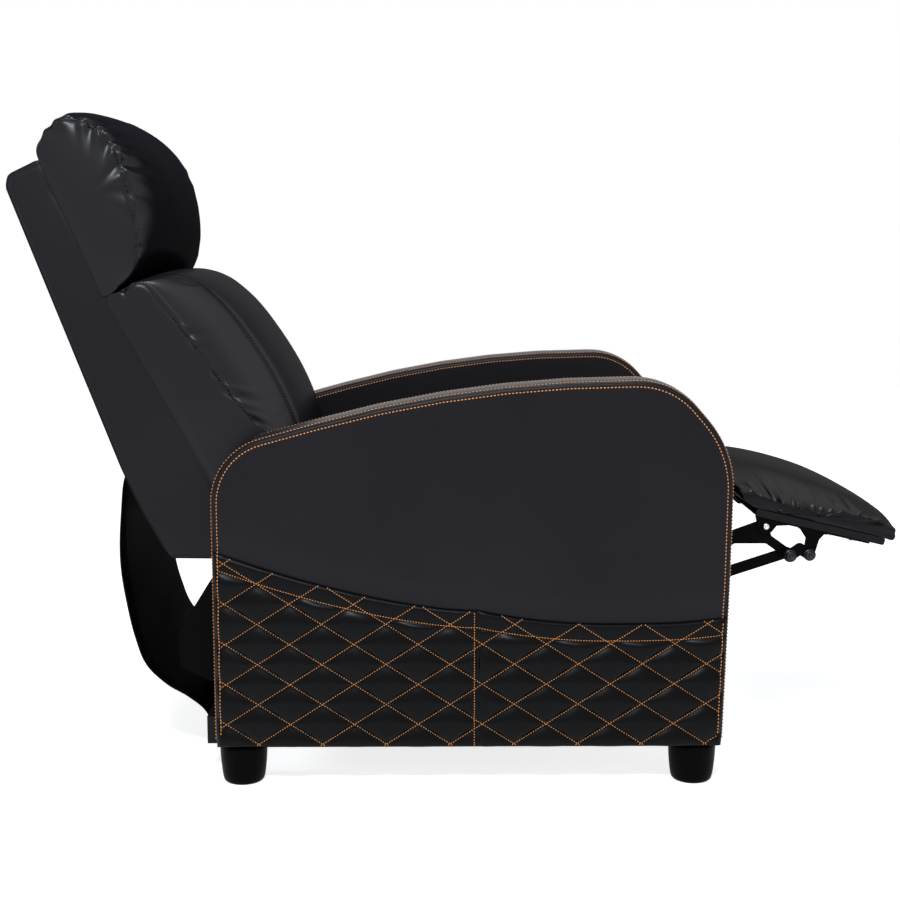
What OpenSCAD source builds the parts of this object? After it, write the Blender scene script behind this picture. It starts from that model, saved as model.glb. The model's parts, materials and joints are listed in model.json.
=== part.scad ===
// Push-back recliner with a padded arm on each side, a reclining back and a linked footrest.
// X points the way the sitter faces, Y to the sitter's left and Z up, in millimetres.
// The model stands as it is used with the footrest out: back_recline and footrest are both at zero.

/* [Arms] */
// Thickness of one arm
arm_thick = 74; // [60:1:90]
// Clear width between the arms
inner_gap = 530; // [500:5:560]
// Height of the arm's top seam above the floor
arm_height = 597; // [590:1:605]
// Length of the arm panel
arm_length = 746; // [740:1:750]
// Thickness of the upholstery cover
cover = 2; // [1:0.5:3]
/* [Quilting] */
// Width of one sewn diamond
diamond_w = 93.2; // [80:0.1:110]
// Height of one sewn diamond
diamond_h = 60; // [50:1:75]
// How far a diamond stands out between its seams
quilt_rise = 3.5; // [1:0.5:6]
/* [Feet] */
// Height of the feet
foot_h = 61; // [50:1:70]
// Diameter at the top of a foot
foot_top_d = 72; // [60:1:80]
// Diameter at the bottom of a foot
foot_bottom_d = 52; // [40:1:60]
/* [Mechanism] */
// Thickness of the steel link plates
link_t = 4; // [3:0.5:4]
// Width of the steel links
link_w = 18; // [14:1:18]
// Radius of the rivets that join the links
rivet_r = 4; // [3:0.5:5]
// Length of the swing links that carry the seat
swing_len = 67; // [60:1:67]
/* [Back] */
// Width over the back's side boards
back_w = 520; // [500:2:522]
// Thickness of a side board
side_board = 20; // [15:1:22]

/* [Hidden] */
$fn = 48;

// The arms' middle lies a little in front of the middle of the open recliner
shift_x = 7.7;
inner_y = inner_gap / 2;
outer_y = inner_y + arm_thick;
gap = 0.05;

// Arm outline as corners [x, z, corner radius], anticlockwise seen from the sitter's right
arm_half = arm_length / 2;
arm_corners = [[-arm_half + 1, foot_h, 2], [arm_half - 7, foot_h, 2], [arm_half - 1, 300, 900],
    [arm_half + 1, arm_height - 100, 150], [arm_half - 86, arm_height, 110], [1, arm_height, 1700],
    [-arm_half + 1, arm_height - 102, 95]];

// Wave along which the smooth panel ends and the quilted panels start
wave_split = 9;
wave_mid = 266;
wave_low = 246;
wave_low_x = 200;
wave_rise = 88;
function wave_z(x) = x < wave_split
    ? wave_mid + wave_rise * pow((wave_split - x) / (wave_split + arm_half), 1.6)
    : x < wave_low_x
        ? wave_low + (wave_mid - wave_low) * pow((wave_low_x - x) / (wave_low_x - wave_split), 2)
        : wave_low + 10 * pow((x - wave_low_x) / (arm_half - wave_low_x), 3);

// Sewing lattice: a stitch crossing sits at this point of the arm's side
lattice_x = -31;
lattice_z = 246.5;

// Pivots of the recline mechanism, as [x, z]
back_pivot = [-270, 380];
seat_rear_pin = back_pivot - [0, swing_len];
swing_top = [95, 367];
swing_low = swing_top - [0, swing_len];

// Pivots of the footrest linkage with the footrest out
// The crank and guide links carry the upper link level, and the lower and diagonal links are parallel
// to the upper link and the crank, so those joints turn by the same amount
crank_pin = [261, 348];
crank_upper = [352, 322];
guide_offset = [24, 16];
guide_pin = crank_pin + guide_offset;
guide_upper = crank_upper + guide_offset;
upper_elbow = [392, 353];
upper_end = [444, 372];
diagonal_top = [446, 353];
knee = [481, 328];
crank_lower = crank_upper + knee - diagonal_top;
bracket_toe = [510, 329];
// The short link's rivet wanders along this slot at the knee
slot_reach = [2.75, -3.3];

// The link plates lie side by side in these layers, counted from the seat outwards
layer_0 = 228;
layer_step = 5;
function layer(n) = layer_0 + n * layer_step;

// The footrest board slopes forward and down from the upper link's end
board_slope = 13.2;
board_front = 180;
board_rear = -20;
board_low = 12;
board_t = 11;
board_half_w = 250;

// Lines of the reclined back, seen from the side
slab_top = [-622, 912];
slab_front_low = [-381, 441];
back_lean = atan2(slab_front_low[0] - slab_top[0], slab_top[1] - slab_front_low[1]);
slab_corners = [[-345, 326, 12], [-345, 371, 10], [-622, 912, 3], [-668, 890, 12],
    [-671, 872, 14], [-517, 461, 60], [-487, 394, 60], [-449, 327, 16]];

// Geometry helpers
function unit(v) = v / norm(v);
function turn(v, a) = [v[0] * cos(a) - v[1] * sin(a), v[0] * sin(a) + v[1] * cos(a)];
function xz(p) = [p[0], p[1]];
function mix(a, b, t) = a * (1 - t) + b * t;

// One rounded corner as points on its arc
function corner_arc(a, p, b) =
    let (u = unit(xz(a) - xz(p)), v = unit(xz(b) - xz(p)),
         half = acos(max(-1, min(1, u * v))) / 2,
         centre = xz(p) + unit(u + v) * p[2] / sin(half),
         from = xz(p) + u * p[2] / tan(half),
         to = xz(p) + v * p[2] / tan(half),
         sweep = 180 - 2 * half,
         side = sign(u[0] * v[1] - u[1] * v[0]),
         steps = max(1, min(14, ceil(sweep / 7))))
    [for (i = [0:steps]) centre + turn(from - centre, -side * sweep * i / steps)];
function rounded(pts) =
    let (n = len(pts))
    [for (i = [0:n - 1]) each corner_arc(pts[(i + n - 1) % n], pts[i], pts[(i + 1) % n])];

// The same corners drawn in by d, for outlines that run anticlockwise
function inset(pts, d) =
    let (n = len(pts))
    [for (i = [0:n - 1])
        let (p = xz(pts[i]), a = unit(p - xz(pts[(i + n - 1) % n])),
             b = unit(xz(pts[(i + 1) % n]) - p), na = [-a[1], a[0]], nb = [-b[1], b[0]],
             q = p + (na + nb) * d / (1 + na * nb))
        [q[0], q[1], max(0.5, pts[i][2] - d)]];

// Smooth curve through the points, with per points on each stretch
function spline(pts, per) =
    let (n = len(pts) - 1)
    concat([for (i = [0:n - 1], k = [0:per - 1])
        let (t = k / per, p1 = pts[i], p2 = pts[i + 1],
             p0 = i > 0 ? pts[i - 1] : 2 * p1 - p2,
             p3 = i < n - 1 ? pts[i + 2] : 2 * p2 - p1)
        0.5 * (2 * p1 + (p2 - p0) * t + (2 * p0 - 5 * p1 + 4 * p2 - p3) * t * t
            + (3 * p1 - p0 - 3 * p2 + p3) * t * t * t)], [pts[n]]);

// Plate of an XZ outline between two planes across the chair
module plate(y0, y1) {
    translate([0, y1, 0])
        rotate([90, 0, 0])
            linear_extrude(y1 - y0)
                children();
}
module sited() {
    translate([shift_x, 0, 0])
        children();
}
// side is 1 on the sitter's left and -1 on the right
module on_side(side) {
    sited()
        mirror([0, side > 0 ? 0 : 1, 0])
            children();
}
module both_sides() {
    sited() {
        children();
        mirror([0, 1, 0])
            children();
    }
}
module pin(p, r, y0, y1) {
    translate([p[0], y1, p[1]])
        rotate([90, 0, 0])
            cylinder(r = r, h = y1 - y0);
}
module domed_head(p, r, y0, h) {
    translate([p[0], y0, p[1]])
        rotate([-90, 0, 0])
            rotate_extrude()
                polygon([[0, 0], [r, 0], [r, h * 0.3], [r * 0.75, h * 0.8], [r * 0.4, h], [0, h]]);
}
module disc(p, r) {
    translate(p)
        circle(r = r);
}
// Flat bar between two points, whose round ends stand a little proud of its sides
bar_waist = 0.96;
module bar2d(a, b, w) {
    disc(a, w / 2);
    disc(b, w / 2);
    translate(a)
        rotate(atan2(b[1] - a[1], b[0] - a[0]))
            translate([0, -w * bar_waist / 2])
                square([norm(b - a), w * bar_waist]);
}

// Soft solid between an edge outline and a fuller middle outline
// bulge(t) goes from 0 at the side to 1 in the middle; the last ring draws in towards its centre
function ring_at(edge, middle, t, draw) =
    let (n = len(edge), b = bulge(t),
         ring = [for (i = [0:n - 1]) mix(edge[i], middle[i], b)],
         c = centre_of(edge))
    [for (p = ring) mix(p, c, draw)];
function centre_of(pts) = [for (k = [0:1]) [for (p = pts) p[k]] * [for (p = pts) 1] / len(pts)];
function bulge(t) = pow(max(0, 1 - pow(t, 2.6)), 0.6);
module soft_loft(edge, middle, half_w, stations, side_draw) {
    n = len(edge);
    m = len(stations);
    points = [for (j = [0:m - 1]) each [for (p = ring_at(edge, middle, min(1, abs(stations[j])),
        abs(stations[j]) >= 1 ? side_draw : 0))
            [p[0], (abs(stations[j]) >= 1 ? sign(stations[j]) : stations[j] * 0.94) * half_w, p[1]]]];
    c = centre_of(edge);
    caps = [[c[0], -half_w - 2, c[1]], [c[0], half_w + 2, c[1]]];
    walls = [for (j = [0:m - 2], i = [0:n - 1]) each let (a = j * n + i, b = j * n + (i + 1) % n)
        [[a, b, b + n], [a, b + n, a + n]]];
    ends = [for (i = [0:n - 1]) each [[n * m, (i + 1) % n, i],
        [n * m + 1, (m - 1) * n + i, (m - 1) * n + (i + 1) % n]]];
    polyhedron(concat(points, caps), concat(walls, ends), convexity = 6);
}
half_stations = [0, 0.25, 0.5, 0.68, 0.8, 0.9, 0.97];
stations = concat([-1], [for (i = [6:-1:1]) -half_stations[i]], half_stations, [1]);

// Arm outlines
module arm_outline(d = 0) {
    polygon(rounded(inset(arm_corners, d)));
}
module arm_frame_outline() {
    difference() {
        union() {
            arm_outline(24);
            translate([-352, foot_h])
                square([700, 52]);
        }
        for (x = [-290, 30]) {
            polygon(rounded([[x, 150, 20], [x + 250, 150, 20], [x + 250, 290, 20], [x, 290, 20]]));
            polygon(rounded([[x, 370, 12], [x + 250, 370, 12], [x + 250, 460 + x * 0.12, 12],
                [x, 440 + x * 0.12, 12]]));
        }
    }
}
frame_y0 = inner_y + 20;
frame_y1 = outer_y - 20;
foot_y = inner_y + arm_thick / 2;
front_foot_x = 330;
rear_foot_x = -338;
stud_r = 4;
stud_len = 40;

module arm_frame(side) {
    color("burlywood")
        on_side(side)
            difference() {
                plate(frame_y0, frame_y1)
                    arm_frame_outline();
                for (x = [rear_foot_x, front_foot_x])
                    translate([x, foot_y, foot_h])
                        cylinder(r = stud_r, h = stud_len);
                for (p = bolt_places)
                    pin(p, bolt_r, frame_y0 - 1, frame_y1 + 1);
            }
}
module arm_padding(side) {
    color("gainsboro")
        on_side(side)
            difference() {
                plate(inner_y + cover, outer_y - cover)
                    arm_outline(cover);
                plate(frame_y0, frame_y1)
                    arm_frame_outline();
                for (p = bolt_places)
                    pin(p, bolt_r + 1, inner_y, frame_y0 + 1);
            }
}
module arm_gusset(side) {
    color([0.16, 0.16, 0.18])
        on_side(side)
            plate(inner_y + cover, outer_y - cover)
                difference() {
                    arm_outline();
                    arm_outline(cover);
                    translate([-arm_half + 1 + cover, foot_h - 1])
                        square([arm_length - 8 - 2 * cover, cover + 2]);
                }
}
module above_wave() {
    polygon(concat([[arm_half + 20, arm_height + 20], [-arm_half - 20, arm_height + 20]],
        [for (i = [0:30]) let (x = mix(-arm_half - 2, arm_half + 4, i / 30)) [x, wave_z(x)]]));
}
module arm_outer_panel(side) {
    color([0.16, 0.16, 0.18])
        on_side(side)
            plate(outer_y - cover, outer_y)
                intersection() {
                    arm_outline();
                    above_wave();
                }
}
module arm_inner_panel(side) {
    color([0.14, 0.14, 0.16])
        on_side(side)
            difference() {
                plate(inner_y, inner_y + cover)
                    arm_outline();
                for (p = bolt_places)
                    pin(p, bolt_r + 1, inner_y - 1, inner_y + cover + 1);
            }
}

// Quilted panel: each diamond swells between its seams
quilt_parts = 2;
function swell(x, z) =
    let (u = (x - lattice_x) / diamond_w + (z - lattice_z) / diamond_h,
         v = (x - lattice_x) / diamond_w - (z - lattice_z) / diamond_h,
         fu = 2 * (u - floor(u)) - 1, fv = 2 * (v - floor(v)) - 1)
    (1 - fu * fu) * (1 - fv * fv);
module quilt_sheet(x0, x1, top) {
    sx = diamond_w / 2 / quilt_parts;
    sz = diamond_h / 2 / quilt_parts;
    i0 = floor((x0 - lattice_x) / sx);
    i1 = ceil((x1 - lattice_x) / sx);
    j0 = floor((foot_h - lattice_z) / sz);
    j1 = ceil((top - lattice_z) / sz);
    nx = i1 - i0 + 1;
    nz = j1 - j0 + 1;
    points = concat(
        [for (j = [j0:j1], i = [i0:i1]) let (x = lattice_x + i * sx, z = lattice_z + j * sz)
            [x, outer_y + quilt_rise * swell(x, z), z]],
        [for (z = [lattice_z + j0 * sz, lattice_z + j1 * sz], x = [lattice_x + i0 * sx, lattice_x + i1 * sx])
            [x, outer_y - cover, z]]);
    front = [for (j = [0:nz - 2], i = [0:nx - 2]) each
        let (a = j * nx + i, b = a + 1, c = a + nx, d = c + 1,
             odd = (floor((i + i0) / quilt_parts) + floor((j + j0) / quilt_parts)) % 2 != 0)
        odd ? [[a, c, b], [b, c, d]] : [[a, d, b], [a, c, d]]];
    k = nx * nz;
    rim = [for (i = [0:nx - 2]) each [[i, i + 1, k], [(nz - 1) * nx + i + 1, (nz - 1) * nx + i, k + 2]]];
    sides = [for (j = [0:nz - 2]) each [[(j + 1) * nx, j * nx, k], [(j + 1) * nx - 1, (j + 2) * nx - 1, k + 1]]];
    back = [[k, nx - 1, k + 1], [k + 2, k + 3, nz * nx - 1], [(nz - 1) * nx, k, k + 2],
        [nz * nx - 1, k + 1, k + 3], [k, k + 1, k + 3], [k, k + 3, k + 2]];
    polyhedron(points, concat(front, rim, sides, back), convexity = 4);
}
module quilt(side, x0, x1) {
    color([0.09, 0.08, 0.08])
        on_side(side)
            intersection() {
                quilt_sheet(x0, x1, wave_z(x0) + 2);
                plate(outer_y - cover, outer_y + quilt_rise + 1)
                    difference() {
                        intersection() {
                            arm_outline();
                            translate([x0, foot_h - 1])
                                square([x1 - x0, 400]);
                        }
                        above_wave();
                    }
            }
}

// Feet
module foot(side, x) {
    color([0.05, 0.05, 0.05])
        on_side(side)
            translate([x, foot_y, 0])
                difference() {
                    rotate_extrude()
                        polygon(concat([[0, foot_h], [0, 0]],
                            [for (a = [-90:10:0]) [foot_bottom_d / 2 - 12 + 12 * cos(a), 12 + 12 * sin(a)]],
                            [[foot_top_d / 2 - 1, foot_h - 9], [foot_top_d / 2, foot_h - 7],
                             [foot_top_d / 2, foot_h]]));
                    translate([0, 0, foot_h - 25])
                        cylinder(r = stud_r, h = 30);
                }
}
module foot_studs() {
    color("silver")
        both_sides()
            for (x = [rear_foot_x, front_foot_x])
                translate([x, foot_y, foot_h - 25])
                    cylinder(r = stud_r, h = 25 + stud_len);
}

// Base
bolt_r = 4;
plate_bolts = [[-240, 330], [-60, 330], [172, 330]];
gusset_bolts = [[-325, 180], [-325, 137]];
bolt_places = concat(plate_bolts, gusset_bolts);
base_plate_y0 = inner_y - link_t;
rear_rail_x = -436;
rear_rail_z = 163;
module front_base_rail() {
    color("burlywood")
        sited()
            translate([250, -inner_y, 80])
                difference() {
                    cube([32, inner_gap, 60]);
                    for (y = [30, inner_gap - 30])
                        translate([-1, y, 30])
                            rotate([0, 90, 0])
                                cylinder(r = 5, h = 34);
                }
}
module rear_base_rail() {
    color([0.06, 0.06, 0.06])
        sited()
            difference() {
                translate([rear_rail_x, -base_plate_y0, rear_rail_z])
                    cube([36, 2 * base_plate_y0, 54]);
                translate([rear_rail_x + 3, -base_plate_y0 - 1, rear_rail_z + 3])
                    cube([30, 2 * base_plate_y0 + 2, 48]);
            }
}
module rear_low_rail() {
    color("burlywood")
        sited()
            translate([-398, -inner_y, 42])
                cube([56, inner_gap, 42]);
}
module rear_gussets() {
    color([0.05, 0.05, 0.05])
        both_sides()
            difference() {
                plate(base_plate_y0, inner_y - gap)
                    polygon(rounded([[rear_rail_x - 1, rear_rail_z - 1, 3], [-350, 120, 12], [-310, 120, 8],
                        [-310, 300, 8], [-385, 300, 12], [rear_rail_x - 1, rear_rail_z + 54, 3]]));
                for (p = gusset_bolts)
                    pin(p, bolt_r, base_plate_y0 - 1, inner_y + 1);
            }
}
module base_plate(side) {
    color([0.08, 0.08, 0.08])
        on_side(side)
            difference() {
                plate(base_plate_y0, inner_y - gap)
                    union() {
                        polygon(rounded([[-288, 308, 12], [-150, 322, 60], [190, 308, 12],
                            [190, 352, 14], [-288, 352, 14]]));
                        bar2d(back_pivot, back_pivot - [0, 40], 34);
                        bar2d(swing_top, swing_top - [0, 40], 34);
                    }
                for (p = plate_bolts)
                    pin(p, bolt_r, base_plate_y0 - 1, inner_y + 1);
            }
}
pivot_r = 7;
fit = 0.05;
swing_y1 = base_plate_y0 - 1;
swing_y0 = swing_y1 - link_t;
module base_pins() {
    color("silver")
        both_sides() {
            pin(back_pivot, pivot_r, layer(1), base_plate_y0);
            pin(swing_top, pivot_r, swing_y0 - 3, base_plate_y0);
        }
}
module arm_bolts() {
    color("silver")
        both_sides()
            for (p = bolt_places) {
                pin(p, bolt_r, base_plate_y0 - 1, frame_y1 - 5);
                difference() {
                    pin(p, 2 * bolt_r, base_plate_y0 - 5, base_plate_y0 - gap);
                    pin(p, bolt_r - 1, base_plate_y0 - 6, base_plate_y0 - 3);
                }
            }
}

// Cloth that hangs from the back's lower edge to the base
skirt_half_w = 200;
skirt_t = 2.5;
skirt_line = spline([[-531, 437], [-532, 385], [-537, 335], [-536, 295], [-529, 245], [-518, 190],
    [-499, 143], [-470, 114], [-438, 95], [-412, 74], [-402, 50], [-404, 22]], 2);
module skirt() {
    n = len(skirt_line);
    rows = [-1, -0.85, -0.6, -0.3, 0, 0.3, 0.6, 0.85, 1];
    m = len(rows);
    function fold(i, t) = 5 * sin(180 * i / (n - 1)) * cos(t * 540) - 4 * t * t * sin(180 * i / (n - 1));
    function away(i) = let (d = unit(skirt_line[min(n - 1, i + 1)] - skirt_line[max(0, i - 1)])) [d[1], -d[0]];
    points = [for (face = [0, 1], j = [0:m - 1], i = [0:n - 1])
        let (p = skirt_line[i] + away(i) * (fold(i, rows[j]) + (face - 0.5) * skirt_t))
        [p[0], rows[j] * skirt_half_w, p[1]]];
    k = n * m;
    near = [for (j = [0:m - 2], i = [0:n - 2]) each let (a = j * n + i) [[a, a + 1, a + n + 1], [a, a + n + 1, a + n]]];
    far = [for (f = near) [f[0] + k, f[2] + k, f[1] + k]];
    edges = concat(
        [for (i = [0:n - 2]) each [[i, i + k, i + 1], [i + 1, i + k, i + 1 + k]]],
        [for (i = [0:n - 2]) each let (a = (m - 1) * n + i) [[a, a + 1, a + k], [a + 1, a + 1 + k, a + k]]],
        [for (j = [0:m - 2]) each let (a = j * n) [[a, a + n, a + k], [a + n, a + n + k, a + k]]],
        [for (j = [0:m - 2]) each let (a = j * n + n - 1) [[a, a + k, a + n], [a + n, a + k, a + n + k]]]);
    color([0.06, 0.06, 0.07])
        sited()
            polyhedron(points, concat(near, far, edges), convexity = 6);
}

// Back
back_half = back_w / 2;
board_in = back_half - side_board;
function slab_line(s) = slab_top + s * unit(slab_front_low - slab_top);
slab_normal = [cos(back_lean), sin(back_lean)];
function slab_point(s, depth) = slab_line(s) - depth * slab_normal;
module slab_outline(d = 0) {
    polygon(rounded(inset(slab_corners, d)));
}
module back_side_board(side) {
    color([0.16, 0.16, 0.18])
        on_side(side)
            plate(board_in, back_half)
                slab_outline();
}
module back_rear_panel() {
    color([0.1, 0.1, 0.11])
        sited()
            plate(-board_in, board_in)
                difference() {
                    slab_outline();
                    slab_outline(8);
                    translate([-354, 300])
                        square([20, 90]);
                    polygon([slab_point(-60, 14), slab_point(-60, -60), slab_point(700, -60),
                        slab_point(700, 14)]);
                }
}
function slab_strip(s0, s1, d0, d1) = [slab_point(s0, d0), slab_point(s1, d0), slab_point(s1, d1), slab_point(s0, d1)];
stile_w = 32;
module back_stiles() {
    color("burlywood")
        both_sides()
            plate(board_in - stile_w, board_in)
                polygon(slab_strip(22, 600, 4, 34));
}
module back_rails() {
    color("burlywood")
        sited()
            for (rail = [[22, 0], [230, 0], [440, link_t], [560, link_t]])
                plate(-board_in + stile_w + rail[1], board_in - stile_w - rail[1])
                    polygon(slab_strip(rail[0], rail[0] + 40, 8, 34));
}
module back_webbing() {
    color("dimgray")
        sited()
            plate(-board_in + 4, board_in - 4)
                for (s = [70, 130, 190, 280, 340, 400, 490])
                    polygon(slab_strip(s, s + 45, 2, 3.9));
}
bracket_y0 = layer(1);
bracket_y1 = bracket_y0 + link_t;
stile_low = slab_point(575, 19);
stile_mid = slab_point(470, 19);
bracket_foot = [-330, 352];
module back_bracket(side) {
    color([0.08, 0.08, 0.08])
        on_side(side) {
            difference() {
                plate(board_in - stile_w - link_t, board_in - stile_w)
                    union() {
                        bar2d(stile_low, stile_mid, 28);
                        bar2d(stile_low, bracket_foot, 28);
                    }
                for (s = [490, 550])
                    pin(slab_point(s, 19), 3.5, 0, board_in);
            }
            difference() {
                plate(bracket_y0, bracket_y1)
                    union() {
                        bar2d(back_pivot, seat_rear_pin, 30);
                        bar2d(back_pivot, bracket_foot, 30);
                    }
                pin(back_pivot, pivot_r + fit, 0, outer_y);
            }
            plate(board_in - stile_w - gap, bracket_y0 + gap)
                polygon([for (c = [[-12, -12], [12, -12], [12, 12], [-12, 12]]) bracket_foot + c]);
            pin(seat_rear_pin, pivot_r, layer(0) - 3, bracket_y0);
        }
}
// Padded fronts: the side outline at the side seam and the fuller outline in the middle
function on_slab(a, b, n) = [for (i = [0:n - 1]) slab_line(mix(a, b, i / n)) + 1.5 * slab_normal];
head_line = on_slab(190, -14, 7);
head_edge = concat(head_line, spline([[-636, 922], [-616, 950], [-583, 970], [-548, 963], [-518, 936],
    [-499, 887], [-485, 828], [-483, 785], [-496, 748], [-524, 729]], 3));
head_middle = concat(head_line, spline([[-639, 926], [-629, 962], [-580, 996], [-531, 979], [-489, 937],
    [-460, 883], [-449, 830], [-455, 787], [-486, 757], [-521, 737]], 3));
module head_cushion() {
    color([0.2, 0.2, 0.21])
        sited()
            soft_loft(head_edge, head_middle, 250, stations, 0.12);
}
cushion_line = on_slab(570, 222, 7);
cushion_edge = concat(cushion_line, spline([[-514, 712], [-487, 728], [-452, 704], [-412, 655], [-368, 593],
    [-322, 535], [-285, 490], [-270, 450], [-285, 418], [-338, 406]], 3));
cushion_middle = concat(cushion_line, spline([[-507, 722], [-466, 757], [-420, 750], [-361, 705], [-311, 641],
    [-272, 572], [-248, 500], [-244, 440], [-266, 406], [-330, 403]], 3));
module back_cushion() {
    color([0.22, 0.23, 0.25])
        sited()
            soft_loft(cushion_edge, cushion_middle, 254, stations, 0.08);
}

// Seat
seat_front = 352;
seat_rear = -198;
seat_low = 392.3;
seat_edge = concat([for (i = [0:6]) [mix(seat_rear + 8, seat_front - 30, i / 7), seat_low]],
    spline([[seat_front - 22, seat_low], [seat_front - 3, 414], [seat_front - 14, 440], [240, 448],
        [100, 447], [-60, 443], [-170, 440], [seat_rear, 425], [seat_rear + 6, seat_low + 3]], 3));
seat_middle = concat([for (i = [0:6]) [mix(seat_rear + 8, seat_front - 30, i / 7), seat_low]],
    spline([[seat_front - 22, seat_low], [seat_front, 420], [seat_front - 12, 452], [240, 466],
        [100, 466], [-60, 461], [-170, 456], [seat_rear, 432], [seat_rear + 6, seat_low + 3]], 3));
module seat_cushion() {
    color([0.2, 0.2, 0.22])
        sited()
            soft_loft(seat_edge, seat_middle, 257, stations, 0.04);
}
seat_rail_y = layer(0) - gap;
module seat_rails() {
    color("burlywood")
        sited()
            difference() {
                translate([-190, -seat_rail_y, 348])
                    cube([488, 2 * seat_rail_y, 40]);
                translate([-162, -seat_rail_y + 28, 340])
                    cube([432, 2 * seat_rail_y - 56, 60]);
            }
}
spring_period = 54;
spring_swing = 21;
module seat_springs() {
    color("dimgray")
        sited()
            for (y = [-140, -70, 0, 70, 140])
                translate([-180, y, 388 + gap])
                    linear_extrude(4)
                        polygon(concat(
                            [for (x = [0:9:468]) [x, spring_swing * sin(360 * x / spring_period) - 2.4]],
                            [for (x = [468:-9:0]) [x, spring_swing * sin(360 * x / spring_period) + 2.4]]));
}
module seat_plate(side) {
    color([0.08, 0.08, 0.08])
        on_side(side) {
            difference() {
                plate(layer(0), layer(0) + link_t)
                    union() {
                        polygon(rounded([[-268, 352, 8], [300, 352, 8], [300, 386, 10], [-190, 386, 10],
                            [-230, 366, 20]]));
                        bar2d(seat_rear_pin, [-240, 360], 28);
                        bar2d(swing_low, swing_low + [0, 60], 30);
                        bar2d(crank_pin, crank_pin + [-2, 20], 26);
                    }
                pin(seat_rear_pin, pivot_r + fit, 0, outer_y);
                pin(swing_low, pivot_r + fit, 0, outer_y);
            }
            rivet(crank_pin, layer(0), layer(1), 1.8 * rivet_r, 1.6);
            rivet(guide_pin, layer(0) + link_t, layer(3), 2 * rivet_r, 2);
            for (x = [-150, 20, 190])
                domed_head([x, 369], 7, layer(0) + link_t, 3);
        }
}
module swing_links() {
    color([0.08, 0.08, 0.08])
        both_sides() {
            difference() {
                plate(swing_y0, swing_y1)
                    bar2d(swing_top, swing_low, 28);
                pin(swing_top, pivot_r + fit, 0, outer_y);
            }
        }
}
module swing_tube() {
    color([0.08, 0.08, 0.08])
        sited()
            difference() {
                union() {
                    pin(swing_low, pivot_r + 4, -layer(0) + 8, layer(0) - 8);
                    pin(swing_low, pivot_r, -swing_y0, swing_y0);
                }
                pin(swing_low, pivot_r - 2, -outer_y, outer_y);
            }
}

// Footrest linkage
hole_r = rivet_r + fit;
// Rivet through the plates of two layers, with a head outside the outer one
module rivet(p, y0, y1, head_r, head_h) {
    pin(p, rivet_r, y0, y1 + link_t + gap);
    domed_head(p, head_r, y1 + link_t + gap, head_h);
}
module holes(places) {
    for (p = places)
        pin(p, hole_r, 0, outer_y);
}
module crank_links() {
    color([0.08, 0.08, 0.08])
        both_sides() {
            difference() {
                plate(layer(1), layer(1) + link_t)
                    union() {
                        bar2d(crank_pin, crank_upper, link_w + 2);
                        bar2d(crank_pin, crank_lower, link_w);
                        bar2d(crank_upper, crank_lower, link_w);
                    }
                holes([crank_pin]);
            }
            rivet(crank_upper, layer(1) + link_t, layer(2), 2 * rivet_r, 2);
            pin(crank_lower, rivet_r, layer(0), layer(1));
        }
}
tube_at = mix(crank_pin, crank_upper, 0.55);
module crank_tube() {
    color([0.08, 0.08, 0.08])
        sited()
            difference() {
                pin(tube_at, 10, -layer(1), layer(1));
                pin(tube_at, 8, -layer(1) - 1, layer(1) + 1);
            }
}
module guide_links() {
    color([0.08, 0.08, 0.08])
        both_sides() {
            difference() {
                plate(layer(3), layer(3) + link_t)
                    bar2d(guide_pin, guide_upper, link_w);
                holes([guide_pin]);
            }
            pin(guide_upper, rivet_r, layer(2), layer(3));
            domed_head(guide_upper, 2 * rivet_r, layer(3) + link_t, 2);
        }
}
module upper_links() {
    color([0.08, 0.08, 0.08])
        both_sides() {
            difference() {
                plate(layer(2), layer(2) + link_t)
                    union() {
                        bar2d(crank_upper, upper_elbow, link_w + 4);
                        bar2d(upper_elbow, upper_end, link_w + 2);
                        bar2d(upper_elbow, diagonal_top, link_w);
                        bar2d(upper_end, diagonal_top, link_w - 2);
                    }
                holes([crank_upper, guide_upper]);
            }
            rivet(upper_end, layer(2) + link_t, layer(3), 1.8 * rivet_r, 2.5);
            pin(diagonal_top, rivet_r, layer(1), layer(2));
        }
}
module lower_links() {
    color([0.08, 0.08, 0.08])
        both_sides() {
            difference() {
                plate(layer(0), layer(0) + link_t)
                    bar2d(crank_lower, knee, link_w - 1);
                holes([crank_lower]);
            }
            rivet(knee, layer(0) + link_t, layer(4), 2.6 * rivet_r, 3);
        }
}
module diagonal_links() {
    color([0.08, 0.08, 0.08])
        both_sides()
            difference() {
                plate(layer(1), layer(1) + link_t)
                    bar2d(diagonal_top, knee, link_w - 3);
                holes([diagonal_top, knee]);
            }
}
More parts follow.
